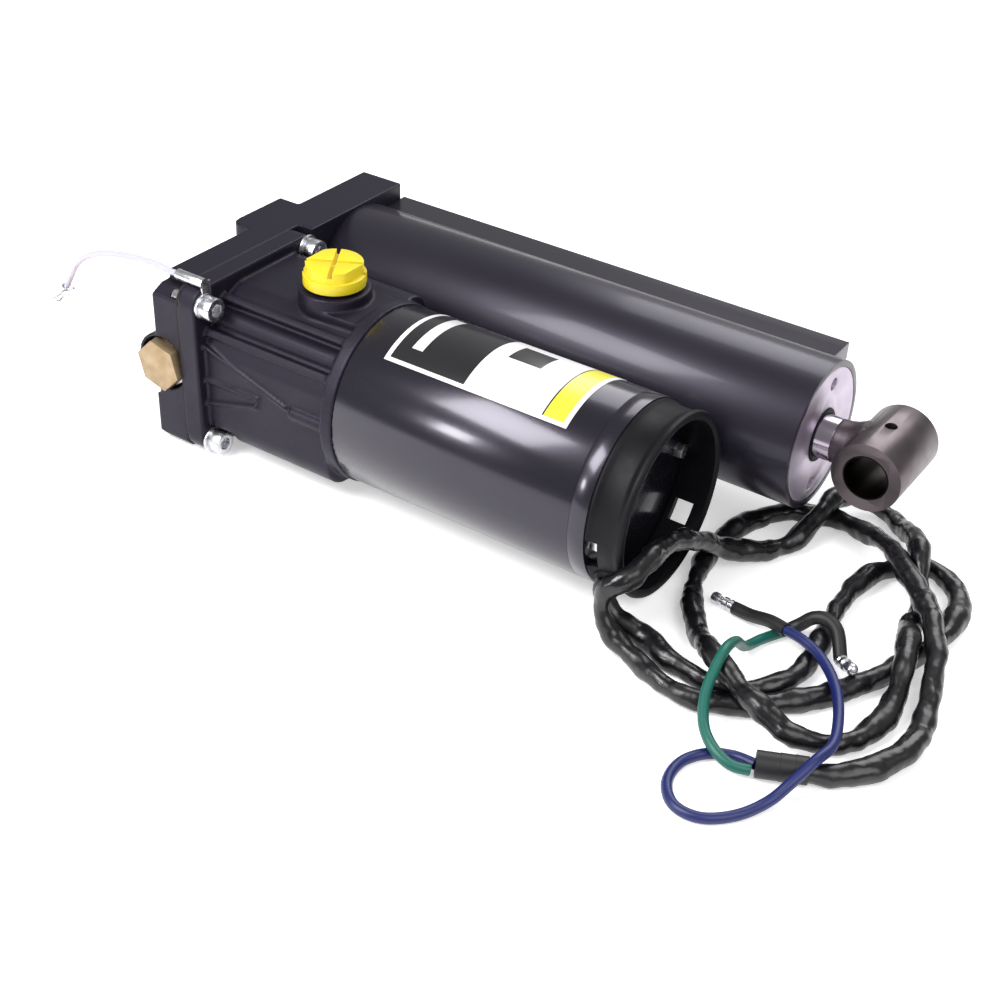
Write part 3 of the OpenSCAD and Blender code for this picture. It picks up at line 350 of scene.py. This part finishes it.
def turned_metal(slot, colour, roughness, line=0.25, axis=0, depth=0.02):
    """Bare metal with fine tool lines round one axis, and faint smears."""
    metal = Finish(slot, colour, roughness, metallic=1.0)
    stretch = [12, 12, 12]
    stretch[axis] = 1
    lines = metal.noise(line, detail=2, stretch=tuple(stretch))
    smear = metal.noise(9, detail=3)
    metal.rough(metal.ramp(smear, 0.3, 0.7, roughness - 0.05, roughness + 0.1))
    metal.bump(lines, depth, 0.5)
    return metal


def plain_metal(slot, colour, roughness):
    """Small plated pieces: bright, with a soft mottle."""
    metal = Finish(slot, colour, roughness, metallic=1.0)
    mottle = metal.noise(2.5, detail=3)
    metal.rough(metal.ramp(mottle, 0.3, 0.7, roughness - 0.06, roughness + 0.1))
    return metal


def zinc_plate(slot):
    """Yellow zinc: straw with browner clouds."""
    zinc = Finish(slot, "#b09a7c", 0.42, metallic=0.75)
    cloud = zinc.noise(5, detail=4)
    zinc.tint(zinc.ramp(cloud, 0.35, 0.7, 0, 0.6), "#8f7a54")
    zinc.rough(zinc.ramp(cloud, 0.3, 0.7, 0.34, 0.5))
    return zinc


def cap_plastic(slot):
    """Moulded yellow plastic, slightly waxy."""
    plastic = Finish(slot, "#dcc51c", 0.38, Subsurface_Weight=0.08, Coat_Weight=0.1)
    plastic.bump(plastic.noise(0.9, detail=2), 0.04, 0.3)
    return plastic


def moulded_rubber(slot, colour, roughness):
    """Smooth black rubber with a little bloom."""
    rubber = Finish(slot, colour, roughness, Specular_IOR_Level=0.18)
    bloom = rubber.noise(12, detail=4)
    rubber.tint(rubber.ramp(bloom, 0.45, 0.8, 0, 0.3), "#17151d")
    rubber.rough(rubber.ramp(bloom, 0.3, 0.7, roughness - 0.08, roughness + 0.1))
    rubber.bump(rubber.noise(1.2, detail=2), 0.03, 0.4)
    return rubber


def vinyl(slot):
    """Thin glossy vinyl sleeve with short creases."""
    film = Finish(slot, "#0b0a0e", 0.32, Coat_Weight=0.12, Coat_Roughness=0.15)
    crease = film.noise(9, detail=2, rough=0.45)
    fine = film.noise(1.6, detail=2)
    film.rough(film.ramp(crease, 0.3, 0.7, 0.22, 0.42))
    film.bump(crease, 1.6, 0.8)
    film.bump(fine, 0.1, 0.3)
    return film


def insulation(slot, colour, roughness=0.4, **sockets):
    """Smooth wire insulation."""
    cover = Finish(slot, colour, roughness, **sockets)
    cover.bump(cover.noise(3, detail=2), 0.05, 0.3)
    return cover


# The label place: plain panels in the photograph's colours, with no words or signs
LABEL_X = (113 * MM, 197 * MM)
LABEL_ANGLES = (56, 125)
LABEL_BORDER_X = 2 * MM
LABEL_BORDER_ANGLE = 2.6
LABEL_BLACK_TO = 150 * MM
LABEL_YELLOW_FROM = 186 * MM
LABEL_LINE = 0.7 * MM
LABEL_BLOCK_X = (157 * MM, 172 * MM)
LABEL_BLOCK_ANGLES = (72, 92)
LABEL_BAR_X = (121 * MM, 126 * MM)
LABEL_BAR_ANGLES = (66, 112)


def label_film(slot):
    """Printed film: a white ground, a black panel and a yellow band inside a white border."""
    film = Finish(slot, "#eceaea", 0.32, Coat_Weight=0.25, Coat_Roughness=0.1)
    x, y, z = (film.axis(name) for name in "XYZ")
    angle = film.node("Math", {"operation": "ARCTAN2"}, {0: z - MOTOR_Z, 1: y - MOTOR_Y}) * (180 / math.pi)
    inside = angle.between(LABEL_ANGLES[0] + LABEL_BORDER_ANGLE, LABEL_ANGLES[1] - LABEL_BORDER_ANGLE)
    black = x.between(LABEL_X[0] + LABEL_BORDER_X, LABEL_BLACK_TO) * inside
    yellow = x.between(LABEL_YELLOW_FROM, LABEL_X[1] - LABEL_BORDER_X) * inside
    film.tint(black, "#17161a")
    line = x.between(LABEL_YELLOW_FROM - LABEL_LINE, LABEL_YELLOW_FROM) * inside
    block = x.between(*LABEL_BLOCK_X) * angle.between(*LABEL_BLOCK_ANGLES)
    bar = x.between(*LABEL_BAR_X) * angle.between(*LABEL_BAR_ANGLES)
    film.tint(yellow, "#dfd53a")
    film.tint(line, "#17161a")
    film.tint(block, "#17161a")
    film.tint(bar, "#dcdadc")
    return film


EYE_AXIS_X = 286 * MM
EYE_BORE_R = 9.4 * MM


def eye_steel(slot):
    """Brushed steel, with the inside of its bore painted dark as shade."""
    metal = turned_metal(slot, "#665e61", 0.36, line=0.35, axis=1, depth=0.03)
    x, z = metal.axis("X") - EYE_AXIS_X, metal.axis("Z")
    # Painted shade: the bore inside the eye is darkened in the base colour, standing in for the shade in the
    # hole.
    metal.tint(x * x + z * z < EYE_BORE_R ** 2, "#1d1815")
    return metal


FINISHES = {finish.slot: finish for finish in (
    cast_paint("cast_black", "#15121d", 0.45),
    tube_paint("satin_black", "#15121c", 0.36, 0.2),
    tube_paint("gloss_black", "#100e16", 0.24, 0.4),
    plain_metal("bearing_metal", "#b9a86a", 0.35),
    plain_metal("bright_steel", "#c2c4c9", 0.3),
    zinc_plate("yellow_zinc"),
    plain_metal("brass_metal", "#c9a24e", 0.3),
    moulded_rubber("gasket_grey", "#2c2a28", 0.8),
    plain_metal("stainless", "#cfd0d4", 0.27),
    cap_plastic("cap_yellow"),
    moulded_rubber("black_rubber", "#0c0c0e", 0.6),
    plain_metal("filter_mesh", "#a9a490", 0.4),
    cast_paint("grey_iron", "#77797f", 0.5),
    plain_metal("copper_wire", "#b4652a", 0.35),
    cast_paint("board_brown", "#6b4a2c", 0.6),
    moulded_rubber("carbon", "#2f2f33", 0.7),
    moulded_rubber("boot_rubber", "#09080d", 0.5),
    label_film("label_film"),
    turned_metal("pale_aluminium", "#bdb3c2", 0.42, line=0.5),
    Finish("rod_chrome", "#aaa0ae", 0.2, metallic=1.0),
    eye_steel("turned_steel"),
    insulation("white_insulation", "#bcb8c6", 0.25, Subsurface_Weight=0.2),
    vinyl("sleeve_vinyl"),
    insulation("tape_black", "#101012", 0.5),
    insulation("green_insulation", "#0d5c50", 0.42),
    insulation("blue_insulation", "#0f1c58", 0.42),
    insulation("shrink_black", "#121215", 0.5),
)}


def paint(piece, slot):
    """Gives the piece one finish and names the record's slot for it."""
    piece.data.materials.clear()
    piece.data.materials.append(FINISHES[slot].material)
    return piece


# Cords: the routes' points are millimetres
SLEEVE_POINTS = (
    (225, -103.5, -26.4), (226.5, -106.5, -31), (232, -107, -37.5), (243, -106.5, -41),
    (258, -112.5, -41), (273, -115.5, -41), (287, -111, -41), (297, -99, -41), (299.5, -83, -41),
    (297.5, -66, -41), (294.5, -49, -41), (294, -33, -41), (296.5, -18, -41), (304, -5.5, -41),
    (315, -1.5, -41), (326, -8, -41), (332.5, -21, -41), (334, -36, -41), (331, -54, -41),
    (325, -72, -41), (317, -89, -41), (305.5, -104.5, -41), (292.3, -117.6, -41), (277, -125.5, -41),
    (262, -125, -41), (248, -119, -41), (237, -116.5, -38), (230.5, -115.5, -30), (230.5, -114.5, -21),
    (236.5, -111, -15), (239.5, -100, -12.5), (238.5, -85, -14.5), (238.7, -69, -20.5),
    (241.5, -53, -30), (248, -40, -38), (257, -28.5, -41), (262.5, -15, -39.5), (265, -1, -33.6),
    (266, 11, -32.6), (271.5, 23, -37.5), (282, 25, -41), (292, 17, -40), (301, 5, -33.8),
    (309, -6, -32.6), (316, -19, -39.3), (320, -31, -41), (322.5, -44.5, -39.5), (327, -58, -32.8),
    (331, -72, -33.8), (334, -88, -41), (333, -104, -41), (325.5, -118.5, -40.8), (313, -126, -37),
    (299, -124, -33), (284.5, -116.5, -32.5), (271, -107, -33.5), (259, -93.5, -39.5),
    (248.5, -78, -41), (241, -61, -41), (237.3, -44, -41), (237.5, -27, -41), (243, -10, -41),
    (254, 3, -41), (269, 7, -41), (284, 1, -37.5), (297, -8.5, -33), (309, -20, -32.3),
    (320, -31.5, -32.3), (329.5, -43.5, -32.5), (337, -58, -33), (343, -74, -37.3), (347.5, -91, -41),
    (347.5, -107, -41), (341, -122, -41), (329, -133.5, -41), (314, -141, -41))
GREEN_POINTS = (
    (308.3, -145.4, -42), (302, -148, -41), (294, -146, -39), (287, -140, -37), (282, -131, -33.3),
    (280, -122, -29.3), (279, -112, -26), (278, -101, -30), (277, -90, -40), (279, -79, -42.7),
    (284, -70, -42.4))
BLUE_POINTS = (
    (308.3, -141.7, -42), (300, -141.5, -43), (292, -146, -43), (287, -155, -43), (288, -166, -43),
    (295, -174, -43), (305, -174, -43), (314, -166, -43), (320, -155, -42), (324, -146, -37.5),
    (327, -136, -34), (328, -125, -34.5), (324, -112, -35), (318, -100, -35), (311, -91, -34.8),
    (303, -84, -34.8), (295, -80, -34.8), (287, -77, -36))
GREEN_SHRINK = (
    (284, -70, -42.4), (288, -66.5, -39.5), (292, -65.3, -35.3), (297, -65, -33.6), (303, -68, -34.5),
    (309, -76, -40))
BLUE_SHRINK = (
    (287, -77, -36), (279, -74, -37.5), (270, -71, -41), (262, -69, -42.4))
GREEN_BULLET = ((309, -76, -40), (318, -87, -33))
BLUE_BULLET = ((262, -69, -42.4), (251.4, -67.4, -42.4))
EARTH_POINTS = (
    (15, -104, 35), (11.1, -104, 34.9), (6.7, -104, 35.3), (2.1, -104, 35.7), (-4.6, -104, 35.4),
    (-11.1, -104, 34.7), (-18, -104, 33.5), (-24.7, -104, 32.1), (-30.5, -104, 30.3),
    (-35.4, -104, 28.1), (-39.8, -104, 25.5), (-43.8, -104, 22.3), (-46.9, -104, 18.7),
    (-49.3, -104, 14.6), (-51.6, -104, 10.9), (-53.5, -104, 7.7))
SLEEVE_D = 8 * MM
LEAD_D = 4 * MM
SHRINK_D = 5.2 * MM
EARTH_D = 2.6 * MM


def smooth_path(points, step=1.5 * MM):
    """A smooth curve through the route's points, with a point about every step."""
    route = [Vector(p) * MM for p in points]
    ends = [2 * route[0] - route[1]] + route + [2 * route[-1] - route[-2]]
    path = []
    for before, start, end, after in zip(ends, ends[1:], ends[2:], ends[3:]):
        count = max(2, round((end - start).length / step))
        for i in range(count):
            t = i / count
            path.append(0.5 * (2 * start + (end - before) * t
                               + (2 * before - 5 * start + 4 * end - after) * t ** 2
                               + (3 * start - before - 3 * end + after) * t ** 3))
    return path + [route[-1]]


def length_of(path):
    return sum((b - a).length for a, b in zip(path, path[1:]))


def tube_along(name, path, diameter, sides=16):
    """A round tube along a path, with closed ends."""
    curve = bpy.data.curves.new(name, "CURVE")
    curve.dimensions = "3D"
    spline = curve.splines.new("POLY")
    spline.points.add(len(path) - 1)
    for point, where in zip(spline.points, path):
        point.co = (*where, 1)
    curve.bevel_depth = diameter / 2
    curve.bevel_resolution = (sides - 4) // 2
    curve.use_fill_caps = True
    piece = bpy.data.objects.new(name, curve)
    bpy.context.collection.objects.link(piece)
    select_only(piece)
    bpy.ops.object.convert(target="MESH")
    piece = bpy.context.object
    edit(piece, lambda: bpy.ops.mesh.remove_doubles(threshold=0.001 * MM),
         lambda: bpy.ops.mesh.normals_make_consistent(inside=False))
    return smooth(piece, 60)


def crumple(piece, size, depth, name):
    """Pushes a skin in and out by soft noise."""
    cloud = bpy.data.textures.new(f"{piece.name}_{name}", "CLOUDS")
    cloud.noise_scale = size * MM
    cloud.noise_depth = 1
    modify(piece, "DISPLACE", texture=cloud, texture_coords="LOCAL", strength=depth * MM, mid_level=0.5)
    return piece


# Each layer of creases: its size and depth in millimetres, and its name
SLEEVE_CREASES = ((14, 3.4, "folds"), (5, 1.0, "creases"))


def make_sleeve():
    """The black sleeve: thin vinyl that has crumpled between the wires."""
    path = smooth_path(SLEEVE_POINTS, 1.2 * MM)
    sleeve = tube_along("wrinkled_sleeve", path, SLEEVE_D, 20)
    for crease in SLEEVE_CREASES:
        crumple(sleeve, *crease)
    for vertex in sleeve.data.vertices:
        vertex.co.z = max(vertex.co.z, FLOOR_Z)
    smooth(sleeve, 60)
    paint(sleeve, "sleeve_vinyl")
    place(sleeve, "unit", "harness_sleeve")
    return sleeve, path


def make_lead(name, node, points, diameter, slot):
    path = smooth_path(points)
    lead = paint(tube_along(name, path, diameter), slot)
    return place(lead, "unit", node), path


def turned(name, profile, start, end, sides=40):
    """A round piece spun from a profile of (place, radius) pairs, laid from start to end."""
    start, end = Vector(start) * MM, Vector(end) * MM
    bpy.ops.mesh.primitive_circle_add(vertices=sides, radius=profile[0][1] * MM, fill_type="NGON")
    piece = bpy.context.object
    piece.name = name
    bpy.ops.object.mode_set(mode="EDIT")
    bpy.ops.mesh.select_all(action="SELECT")
    for (place_a, radius_a), (place_b, radius_b) in zip(profile, profile[1:]):
        bpy.ops.mesh.extrude_region_move(TRANSFORM_OT_translate={"value": (0, 0, (place_b - place_a) * MM)})
        bpy.ops.transform.resize(value=(radius_b / radius_a,) * 3)
    bpy.ops.mesh.select_all(action="SELECT")
    bpy.ops.mesh.normals_make_consistent(inside=False)
    bpy.ops.object.mode_set(mode="OBJECT")
    piece.rotation_mode = "QUATERNION"
    piece.rotation_quaternion = Vector((0, 0, 1)).rotation_difference(end - start)
    piece.location = start
    settle(piece)
    return smooth(piece, 35)


BULLET_PROFILE = ((0, 2.5), (2.6, 2.5), (3.0, 1.9), (3.6, 1.9), (4.0, 2.4), (6.4, 2.4), (6.9, 1.6),
                  (9.0, 1.6), (9.4, 2.3), (12.4, 2.3), (13.4, 1.9), (14.0, 1.1), (14.2, 0.4))
TAPE_PROFILE = ((0, 4.6), (0.01, 4.9), (4.5, 5.0), (4.6, 4.85), (9.5, 4.95), (9.6, 4.8),
                (17.4, 4.85), (17.5, 4.4))


def scaled_profile(profile, start, end):
    """A profile stretched to the distance between two places."""
    span = (Vector(end) - Vector(start)).length
    return tuple((place_at * span / profile[-1][0], radius) for place_at, radius in profile)


sleeve, sleeve_path = make_sleeve()
green_lead, green_path = make_lead("green_wire", "green_lead", GREEN_POINTS, LEAD_D, "green_insulation")
blue_lead, blue_path = make_lead("blue_wire", "blue_lead", BLUE_POINTS, LEAD_D, "blue_insulation")
earth_lead, earth_path = make_lead("earth_wire", "earth_lead", EARTH_POINTS, EARTH_D, "white_insulation")
green_shrink, _ = make_lead("green_wire_shrink", "heat_shrinks", GREEN_SHRINK, SHRINK_D, "shrink_black")
blue_shrink, _ = make_lead("blue_wire_shrink", "heat_shrinks", BLUE_SHRINK, SHRINK_D, "shrink_black")
TAPE_ENDS = ((325, -136, -40), (309, -143.5, -40))
tape = turned("tape_wrap", scaled_profile(TAPE_PROFILE, *TAPE_ENDS), *TAPE_ENDS)
place(paint(tape, "tape_black"), "unit", "tape_collar")
green_bullet = turned("green_wire_bullet", scaled_profile(BULLET_PROFILE, *GREEN_BULLET), *GREEN_BULLET)
place(paint(green_bullet, "stainless"), "unit", "bullet_terminals")
blue_bullet = turned("blue_wire_bullet", scaled_profile(BULLET_PROFILE, *BLUE_BULLET), *BLUE_BULLET)
place(paint(blue_bullet, "stainless"), "unit", "bullet_terminals")
earth_terminals = paint(machined("earth_terminals", 0.25), "stainless")

round(length_of(sleeve_path), 3)
sleeve_path[::8] + sleeve_path[-1:]
round(length_of(green_path), 3)
green_path[::4] + green_path[-1:]
round(length_of(blue_path), 3)
blue_path[::4] + blue_path[-1:]
round(length_of(earth_path), 3)
earth_path[::4] + earth_path[-1:]


# The boot: a soft cup with a rolled rim, open at the motor's end
BOOT_WALL = 2.5 * MM
BOOT_LIP = 1.2 * MM
BOOT_LIP_BACK = 5 * MM
BOOT_EDGE = 0.4 * MM
BOOT_CUT_DEPTH = 12 * MM
DRAIN_ANGLE, DRAIN_LEN, DRAIN_W, DRAIN_BACK = 322, 8 * MM, 9 * MM, 6.5 * MM
NOTCH_ANGLE, NOTCH_LEN, NOTCH_W, NOTCH_BACK = 192, 5 * MM, 13 * MM, 2.5 * MM
CABLE_ANGLE, CABLE_HOLE_R, CABLE_HOLE_LEN, CABLE_BACK = 213, 6 * MM, 16 * MM, 8 * MM


def ring_cutter(name, size, angle, radius, x):
    """A block that cuts a window through a wall round the motor's axis."""
    turn = math.radians(angle)
    where = (x, MOTOR_Y + radius * math.cos(turn), MOTOR_Z + radius * math.sin(turn))
    bpy.ops.mesh.primitive_cube_add(size=1, location=where, rotation=(turn, 0, 0))
    cutter = bpy.context.object
    cutter.name = name
    cutter.scale = size
    settle(cutter)
    return cutter


def cut(piece, cutter):
    modify(piece, "BOOLEAN", operation="DIFFERENCE", object=cutter, solver="EXACT")
    bpy.data.objects.remove(cutter)


def lathe_x(name, outline, y, z, sides=128):
    """A closed ring spun about a line along X from a closed outline of (x, radius) pairs."""
    mesh = bpy.data.meshes.new(name)
    count = len(outline)
    mesh.from_pydata([(x, 0, r) for x, r in outline], [(i, (i + 1) % count) for i in range(count)], [])
    piece = bpy.data.objects.new(name, mesh)
    bpy.context.collection.objects.link(piece)
    piece.location = (0, y, z)
    edit(piece,
         lambda: bpy.ops.mesh.spin(steps=sides, angle=2 * math.pi, center=(0, y, z), axis=(1, 0, 0)),
         lambda: bpy.ops.mesh.select_all(action="SELECT"),
         lambda: bpy.ops.mesh.remove_doubles(threshold=0.01 * MM),
         lambda: bpy.ops.mesh.normals_make_consistent(inside=False))
    settle(piece)
    return smooth(piece, 35)


def make_boot():
    x0, x1, r = BELL_END_X, BOOT_END_X, BOOT_R
    inner = r - BOOT_WALL
    outline = (
        (x0, r + 0.9 * MM), (x0 + 1.2 * MM, r + 1.0 * MM), (x0 + 2.2 * MM, r + 0.4 * MM), (x0 + 3.4 * MM, r),
        (x1 - BOOT_LIP_BACK, r - 0.2 * MM), (x1 - 3.6 * MM, r + 0.1 * MM), (x1 - 2.8 * MM, r + 0.9 * MM),
        (x1 - 1.5 * MM, r + BOOT_LIP), (x1 - 0.5 * MM, r + 0.8 * MM), (x1, r),
        (x1 - 0.1 * MM, r - 1.2 * MM), (x1 - 0.9 * MM, inner), (x1 - 3 * MM, inner - 0.4 * MM),
        (x0 + 4 * MM, inner - 0.4 * MM), (x0 + 0.2 * MM, inner))
    boot = lathe_x("rubber_boot", outline, MOTOR_Y, MOTOR_Z)
    cut(boot, ring_cutter("drain", (DRAIN_LEN, BOOT_CUT_DEPTH, DRAIN_W), DRAIN_ANGLE, r, x0 + DRAIN_BACK))
    cut(boot, ring_cutter("bolt_notch", (NOTCH_LEN, BOOT_CUT_DEPTH, NOTCH_W), NOTCH_ANGLE, r, x0 + NOTCH_BACK))
    turn = math.radians(CABLE_ANGLE)
    bpy.ops.mesh.primitive_cylinder_add(
        radius=CABLE_HOLE_R, depth=CABLE_HOLE_LEN,
        location=(x0 + CABLE_BACK, MOTOR_Y + r * math.cos(turn), MOTOR_Z + r * math.sin(turn)),
        rotation=(math.radians(CABLE_ANGLE - 90), 0, 0))
    hole = bpy.context.object
    settle(hole)
    cut(boot, hole)
    modify(boot, "BEVEL", width=BOOT_EDGE, segments=2, limit_method="ANGLE", angle_limit=math.radians(50))
    smooth(boot, 40)
    paint(boot, "boot_rubber")
    return place(boot, "unit", "motor_boot")


make_boot()

# Castings, machined pieces and small parts, each from its CAD solid
for node, slot in (("manifold", "cast_black"), ("reservoir", "cast_black")):
    paint(cast(node), slot)

MACHINED = {
    "tilt_tube": 0.5, "gland": 0.4, "motor_can": 0.5, "motor_end_bell": 0.5, "rod_eye": 0.5, "tilt_rod": 0.2,
    "fill_cap": 0.5, "cap_seal": 0.3, "spool_plug": 0.8, "plug_washer": 0.3, "reservoir_screws": 0.35,
    "reservoir_washers": 0.2, "reservoir_gasket": 0.15, "through_bolts": 0.25, "rod_seals": 0.3,
    "pivot_bushes": 0.3, "release_valve": 0.3, "cable_grommet": 0.6, "blank_label": 0.05,
}
SLOTS = {entry["node"]: entry["material_slot"] for entry in frame["record"]["subparts"]}
BODY_OF = {node: body for body, nodes in frame["record"]["behaviour"]["bodies"].items()
           for node in nodes}
for node, edge in MACHINED.items():
    paint(machined(node, edge, body=BODY_OF[node]), SLOTS[node])

# The pieces inside keep their CAD meshes and take their finish
for node, slot in SLOTS.items():
    solid = frame["nodes"][node]
    solid.data.materials.clear()
    solid.data.materials.append(FINISHES[slot].material)


# Floor, lamps and world
def stage_finish(name, colour, glow):
    """A pale matt surface that shows nearly white to the camera and keeps the shadow."""
    floor = Finish(name, colour, 0.95, Specular_IOR_Level=0.1)
    rays = floor.nodes.new("ShaderNodeLightPath")
    seen = Field(floor, rays.outputs["Is Camera Ray"]) + Field(floor, rays.outputs["Is Glossy Ray"])
    seen = seen + Field(floor, rays.outputs["Is Transmission Ray"])
    floor.put(floor.shader.inputs["Emission Color"], (1, 1, 1, 1))
    floor.put(floor.shader.inputs["Emission Strength"], seen * glow)
    return floor.material


FLOOR_GLOW = 0.42


def make_stage():
    bpy.ops.mesh.primitive_plane_add(size=8, location=(0.15, 0, FLOOR_Z))
    floor = bpy.context.object
    floor.name = "floor"
    floor.data.materials.append(stage_finish("floor_white", "#f4f3f4", FLOOR_GLOW))


def lamp(name, where, size, watts):
    """A square soft lamp aimed at the unit."""
    direction = Vector(LAMP_TARGET) - Vector(where)
    bpy.ops.object.light_add(type="AREA", location=where,
                             rotation=direction.to_track_quat("-Z", "Y").to_euler())
    light = bpy.context.object
    light.name = name
    light.data.shape = "SQUARE"
    light.data.size = size
    light.data.energy = watts


AMBIENT = 0.36
BACKDROP = 1.0


def make_world():
    """White all round: dimmer as light than as a backdrop."""
    world = bpy.data.worlds.new("studio")
    bpy.context.scene.world = world
    world.use_nodes = True
    nodes, links = world.node_tree.nodes, world.node_tree.links
    rays = nodes.new("ShaderNodeLightPath")
    total = nodes.new("ShaderNodeMath")
    total.operation = "MAXIMUM"
    links.new(rays.outputs["Is Camera Ray"], total.inputs[0])
    links.new(rays.outputs["Is Transmission Ray"], total.inputs[1])
    strength = nodes.new("ShaderNodeMapRange")
    links.new(total.outputs[0], strength.inputs["Value"])
    strength.inputs["To Min"].default_value = AMBIENT
    strength.inputs["To Max"].default_value = BACKDROP
    background = nodes["Background"]
    background.inputs["Color"].default_value = (1, 1, 1, 1)
    links.new(strength.outputs[0], background.inputs["Strength"])


# Each lamp: name, place in metres, size in metres, watts
LAMPS = (
    ("key", (-0.25, -0.75, 0.95), 0.55, 14),
    ("fill", (0.85, -0.35, 0.7), 0.7, 5),
    ("back", (0.1, 0.8, 0.8), 0.8, 8),
    ("edge", (-0.35, -0.95, 0.36), 0.16, 2.5),
)
LAMP_TARGET = (0.15, -0.04, 0)

make_stage()
for entry in LAMPS:
    lamp(*entry)
make_world()
bpy.context.scene.view_settings.view_transform = "Standard"
